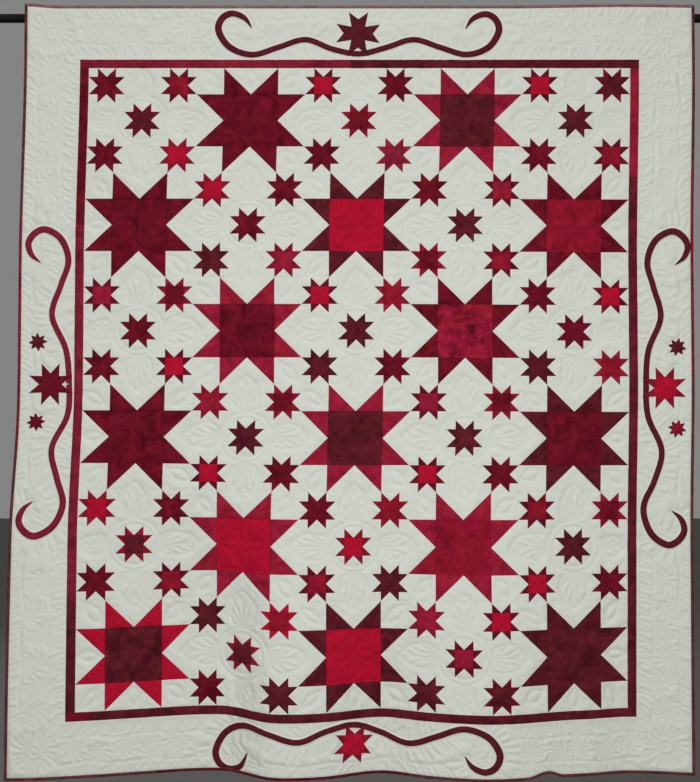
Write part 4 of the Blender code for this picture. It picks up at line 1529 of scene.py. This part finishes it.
class QUILT_OT_applique(bpy.types.Operator):
    """Sews the scrolls and the stars on the border"""

    bl_idname = "quilt.applique"
    bl_label = "Applique"

    def execute(self, context):
        for row in SCROLLS:
            self.scroll(row)
        for row in BORDER_STARS:
            self.star(row)
        return {"FINISHED"}

    def finish(self, name, mesh, flat, edge, middle, places, letters, slot):
        lay_maps(mesh, places)
        mark_points(mesh, "edge", edge)
        mark_points(mesh, "middle", middle)
        material = applique_cotton(name + " cotton", letters)
        return add_cloth(name + "_cloth", mesh, flat, material, name, True)

    def scroll(self, row):
        name, letter = row[:2]
        stations = scroll_stations(row)
        mesh, n, side = numbered_sheet(name, len(stations) - 1, len(STRIP_CROWN) - 1)
        share, crown = np.array(STRIP_CROWN)[side].T
        width = stations[n, 4]
        u = stations[n, 0] + share * width * stations[n, 2]
        v = stations[n, 1] + share * width * stations[n, 3]
        v = np.minimum(v, HEIGHT - BINDING - UNDER_BINDING)
        way = way_along(stations[:, :2])
        made = self.finish(
            name, mesh, np.stack([u, v, face_level(u, v) + crown], axis=1), width * (1 - np.abs(share)),
            np.zeros(len(u)), np.stack([way[n], share * width], axis=1), letter * 2,
            "crimson_cotton" if name == "scroll_left" else "wine_cotton")

    def star(self, row):
        name, letters = row[:2]
        width = row[4]
        mesh = mesh_of(self.star_sheet(STAR_CELLS[width > SMALL_STAR]), name)
        flat = flat_points(mesh)
        turned_under = flat[:, 2] < -0.5
        x, y = flat[:, 0] - STAR_UNITS / 2, flat[:, 1] - STAR_UNITS / 2
        inner = (np.maximum(np.abs(x), np.abs(y)) < 1.001).astype(float)
        x, y = shaped(row, x, y)
        tip = star_tip(row)
        x, y = np.clip(x, -tip, tip), np.clip(y, -tip, tip)
        unit = width / STAR_UNITS
        to_rim = np.hypot(x[:, None] - x[None, turned_under], y[:, None] - y[None, turned_under]).min(axis=1)
        flare = np.where(turned_under, TURNED_FLARE, 1.0)
        x, y = x * flare, y * flare
        u, v = placed(row, x, y)
        over = np.zeros(len(u))
        for scroll in SCROLLS:
            stations = scroll_stations(scroll)
            off = np.hypot(u[:, None] - stations[None, :, 0], v[:, None] - stations[None, :, 1]).min(axis=1)
            over = np.maximum(over, 1 - ease((off - STAR_LAP) / STAR_LAP))
        lift = sizes().applique_lift
        level = face_level(u, v) + np.where(turned_under, TURNED_EDGE, lift) + over * (lift + LAP_GAP)
        made = self.finish(
            name, mesh, np.stack([u, v, level], axis=1), to_rim * unit, inner,
            np.stack([x * unit, y * unit], axis=1), letters,
            "crimson_cotton" if name in ("star_right", "star_bottom") else "wine_cotton")

    def star_sheet(self, cells):
        """A flat star with a wall down from its rim, so many cells to a unit."""
        bm = bmesh.new()
        lines = even_lines(0.0, STAR_UNITS, STAR_UNITS * cells)
        connect_slants(bm, grid_of(bm, lines, lines), [(0, 0, cells)])
        middle = STAR_UNITS / 2
        outside = []
        for face in bm.faces:
            centre = face.calc_center_median()
            near, far = sorted((abs(centre.x - middle), abs(centre.y - middle)))
            if not (far < 1 or (near > far - 1 and near < 1)):
                outside.append(face)
        bmesh.ops.delete(bm, geom=outside, context="FACES")
        rim = [edge for edge in bm.edges if edge.is_boundary]
        for part in bmesh.ops.extrude_edge_only(bm, edges=rim)["geom"]:
            if isinstance(part, bmesh.types.BMVert):
                part.co.z = -1
        # The extrusion leaves its points and faces in no fixed order
        bm.verts.sort(key=lambda vert: reading_order(vert.co))
        bm.faces.sort(key=lambda face: reading_order(face.calc_center_median()))
        return bm


class QUILT_OT_sleeve_and_rod(bpy.types.Operator):
    """Adds the cloth sleeve behind the top edge, and the rod in it"""

    bl_idname = "quilt.sleeve_and_rod"
    bl_label = "Sleeve and rod"

    def execute(self, context):
        self.sleeve()
        self.rod()
        return {"FINISHED"}

    def sleeve_outline(self):
        """Over the rod, down the back to the fold, and up the front, as y and z."""
        inside = SLEEVE_INSIDE
        outline = []
        for n in range(ROUND_STEPS + 1):
            angle = pi - pi * n / ROUND_STEPS
            outline.append((inside * cos(angle), inside * sin(angle)))
        fold_y, fold_z = SLEEVE_FOLD - inside, SLEEVE_FOLD - SLEEVE_DROP
        for n in range(1, SLOPE_STEPS):
            t = n / SLOPE_STEPS
            bulge = SLEEVE_BULGE * sin(pi * t)
            outline.append((inside + (fold_y + SLEEVE_FOLD - inside) * t + bulge, fold_z * t))
        for n in range(FOLD_STEPS + 1):
            angle = -pi * n / FOLD_STEPS
            outline.append((fold_y + SLEEVE_FOLD * cos(angle), fold_z + SLEEVE_FOLD * sin(angle)))
        for n in range(1, SLOPE_STEPS):
            outline.append((-inside, fold_z * (1 - n / SLOPE_STEPS)))
        return outline

    def sleeve(self):
        ring = np.array(self.sleeve_outline())
        count = len(ring)
        half = WIDTH / 2 - SLEEVE_INSET
        mesh, n, k = numbered_sheet("sleeve_tube", SLEEVE_STEPS, count)
        x = -half + 2 * half * n / SLEEVE_STEPS
        y, z = ring[k % count].T
        hanging = np.clip(-z / SLEEVE_DROP, 0, 1) * (y > 0.0005 - SLEEVE_INSIDE)
        y = y + hanging * waved(x, SLEEVE_WAVES)
        way = way_along(np.vstack([ring, ring[:1]]))
        lay_maps(mesh, np.stack([x, way[k]], axis=1))
        mark_points(mesh, "seam", np.minimum(half - np.abs(x), 0.1))
        dye_faces(mesh, one_cloth("L", len(mesh.polygons)))
        place_points(mesh, np.stack([x, y, z], axis=1))
        bm = bmesh.new()
        bm.from_mesh(mesh)
        bmesh.ops.remove_doubles(bm, verts=bm.verts, dist=1e-6)
        bmesh.ops.recalc_face_normals(bm, faces=bm.faces)
        back = max(bm.faces, key=lambda face: face.calc_center_median().y)
        if back.normal.y < 0:
            bmesh.ops.reverse_faces(bm, faces=bm.faces)
        bm.to_mesh(mesh)
        bm.free()
        mesh.shade_smooth()
        mesh.materials.append(cotton("sleeve cotton"))
        made = add_piece("sleeve_tube", mesh, ["sleeve"])
        wall = made.modifiers.new("wall", "SOLIDIFY")
        wall.thickness = SLEEVE_WALL
        wall.offset = 1.0

    def rod(self):
        bm = bmesh.new()
        bmesh.ops.create_cone(bm, cap_ends=True, cap_tris=False, segments=ROD_FACETS, radius1=ROD_RADIUS,
                              radius2=ROD_RADIUS, depth=WIDTH + 2 * ROD_BEYOND,
                              matrix=Matrix.Rotation(pi / 2, 4, "Y"))
        rims = [edge for edge in bm.edges if any(len(face.verts) > 4 for face in edge.link_faces)]
        bmesh.ops.bevel(bm, geom=rims, offset=ROD_BEVEL, offset_type="OFFSET", segments=3, profile=0.5,
                        affect="EDGES", material=-1)
        mesh = mesh_of(bm, "rod_bar")
        mesh.shade_smooth()
        mesh.set_sharp_from_angle(angle=radians(50))
        mesh.materials.append(rod_paint())
        add_piece("rod_bar", mesh, ["rod"])


class QUILT_OT_stage(bpy.types.Operator):
    """Adds the plain floor, the soft light, and the camera"""

    bl_idname = "quilt.stage"
    bl_label = "Stage"

    def execute(self, context):
        self.floor()
        for row in LIGHTS:
            self.light(*row)
        world = bpy.data.worlds.new("plain surroundings")
        world.use_nodes = True
        background = world.node_tree.nodes["Background"]
        background.inputs["Color"].default_value = (*colours().air, 1.0)
        background.inputs["Strength"].default_value = context.scene.stage_lights.air
        context.scene.world = world
        context.scene.view_settings.view_transform = "Standard"
        self.camera()
        return {"FINISHED"}

    def floor(self):
        bm = bmesh.new()
        bmesh.ops.create_grid(bm, x_segments=1, y_segments=1, size=FLOOR_HALF)
        bmesh.ops.translate(bm, verts=bm.verts, vec=(0, 0, PACKED_BOX[0].z - FLOOR_BELOW))
        mesh = mesh_of(bm, "floor")
        mesh.materials.append(floor_finish())
        floor = bpy.data.objects.new("floor", mesh)
        bpy.context.scene.collection.objects.link(floor)

    def light(self, name, power, place, towards, size):
        lights = bpy.context.scene.stage_lights
        lamp = bpy.data.lights.new(name, "AREA")
        lamp.energy = getattr(lights, power)
        lamp.size = size
        lamp.spread = lights.front_spread if power == "front" else pi
        made = bpy.data.objects.new(name, lamp)
        made.location = place
        made.rotation_euler = (Vector(towards) - Vector(place)).to_track_quat("-Z", "Y").to_euler()
        bpy.context.scene.collection.objects.link(made)

    def camera(self):
        camera = bpy.data.cameras.new("camera")
        camera.sensor_fit = "HORIZONTAL"
        camera.sensor_width = CAMERA_SENSOR
        camera.lens = CAMERA_LENS
        camera.clip_start, camera.clip_end = CAMERA_REACH
        eye = bpy.data.objects.new("camera", camera)
        eye.location = CAMERA_PLACE
        eye.rotation_euler = Euler((radians(CAMERA_TILT), 0, 0))
        bpy.context.scene.collection.objects.link(eye)
        bpy.context.scene.camera = eye


class QUILT_PT_panel(bpy.types.Panel):
    """Lists the quilt's pieces, sizes and colours"""

    bl_label = "Star quilt"
    bl_idname = "QUILT_PT_panel"
    bl_space_type = "VIEW_3D"
    bl_region_type = "UI"
    bl_category = "Quilt"

    def draw(self, context):
        for operator in OPERATORS:
            self.layout.operator(operator.bl_idname)
        for group in (context.scene.quilt_sizes, context.scene.quilt_colours, context.scene.stage_lights):
            box = self.layout.box()
            for name in group.bl_rna.properties.keys():
                if name not in ("rna_type", "name"):
                    box.prop(group, name)


OPERATORS = (
    QUILT_OT_blocks, QUILT_OT_borders, QUILT_OT_backing, QUILT_OT_bindings,
    QUILT_OT_applique, QUILT_OT_sleeve_and_rod, QUILT_OT_stage,
)
CLASSES = (QuiltSizes, QuiltColours, StageLights, *OPERATORS, QUILT_PT_panel)


def register():
    for each in CLASSES:
        bpy.utils.register_class(each)
    bpy.types.Scene.quilt_sizes = bpy.props.PointerProperty(type=QuiltSizes)
    bpy.types.Scene.quilt_colours = bpy.props.PointerProperty(type=QuiltColours)
    bpy.types.Scene.stage_lights = bpy.props.PointerProperty(type=StageLights)


def unregister():
    del bpy.types.Scene.quilt_sizes
    del bpy.types.Scene.quilt_colours
    del bpy.types.Scene.stage_lights
    for each in reversed(CLASSES):
        bpy.utils.unregister_class(each)


def main():
    register()
    bpy.ops.quilt.stage()
    bpy.ops.quilt.blocks()
    bpy.ops.quilt.borders()
    bpy.ops.quilt.backing()
    bpy.ops.quilt.bindings()
    bpy.ops.quilt.applique()
    bpy.ops.quilt.sleeve_and_rod()


if __name__ == "__main__":
    main()
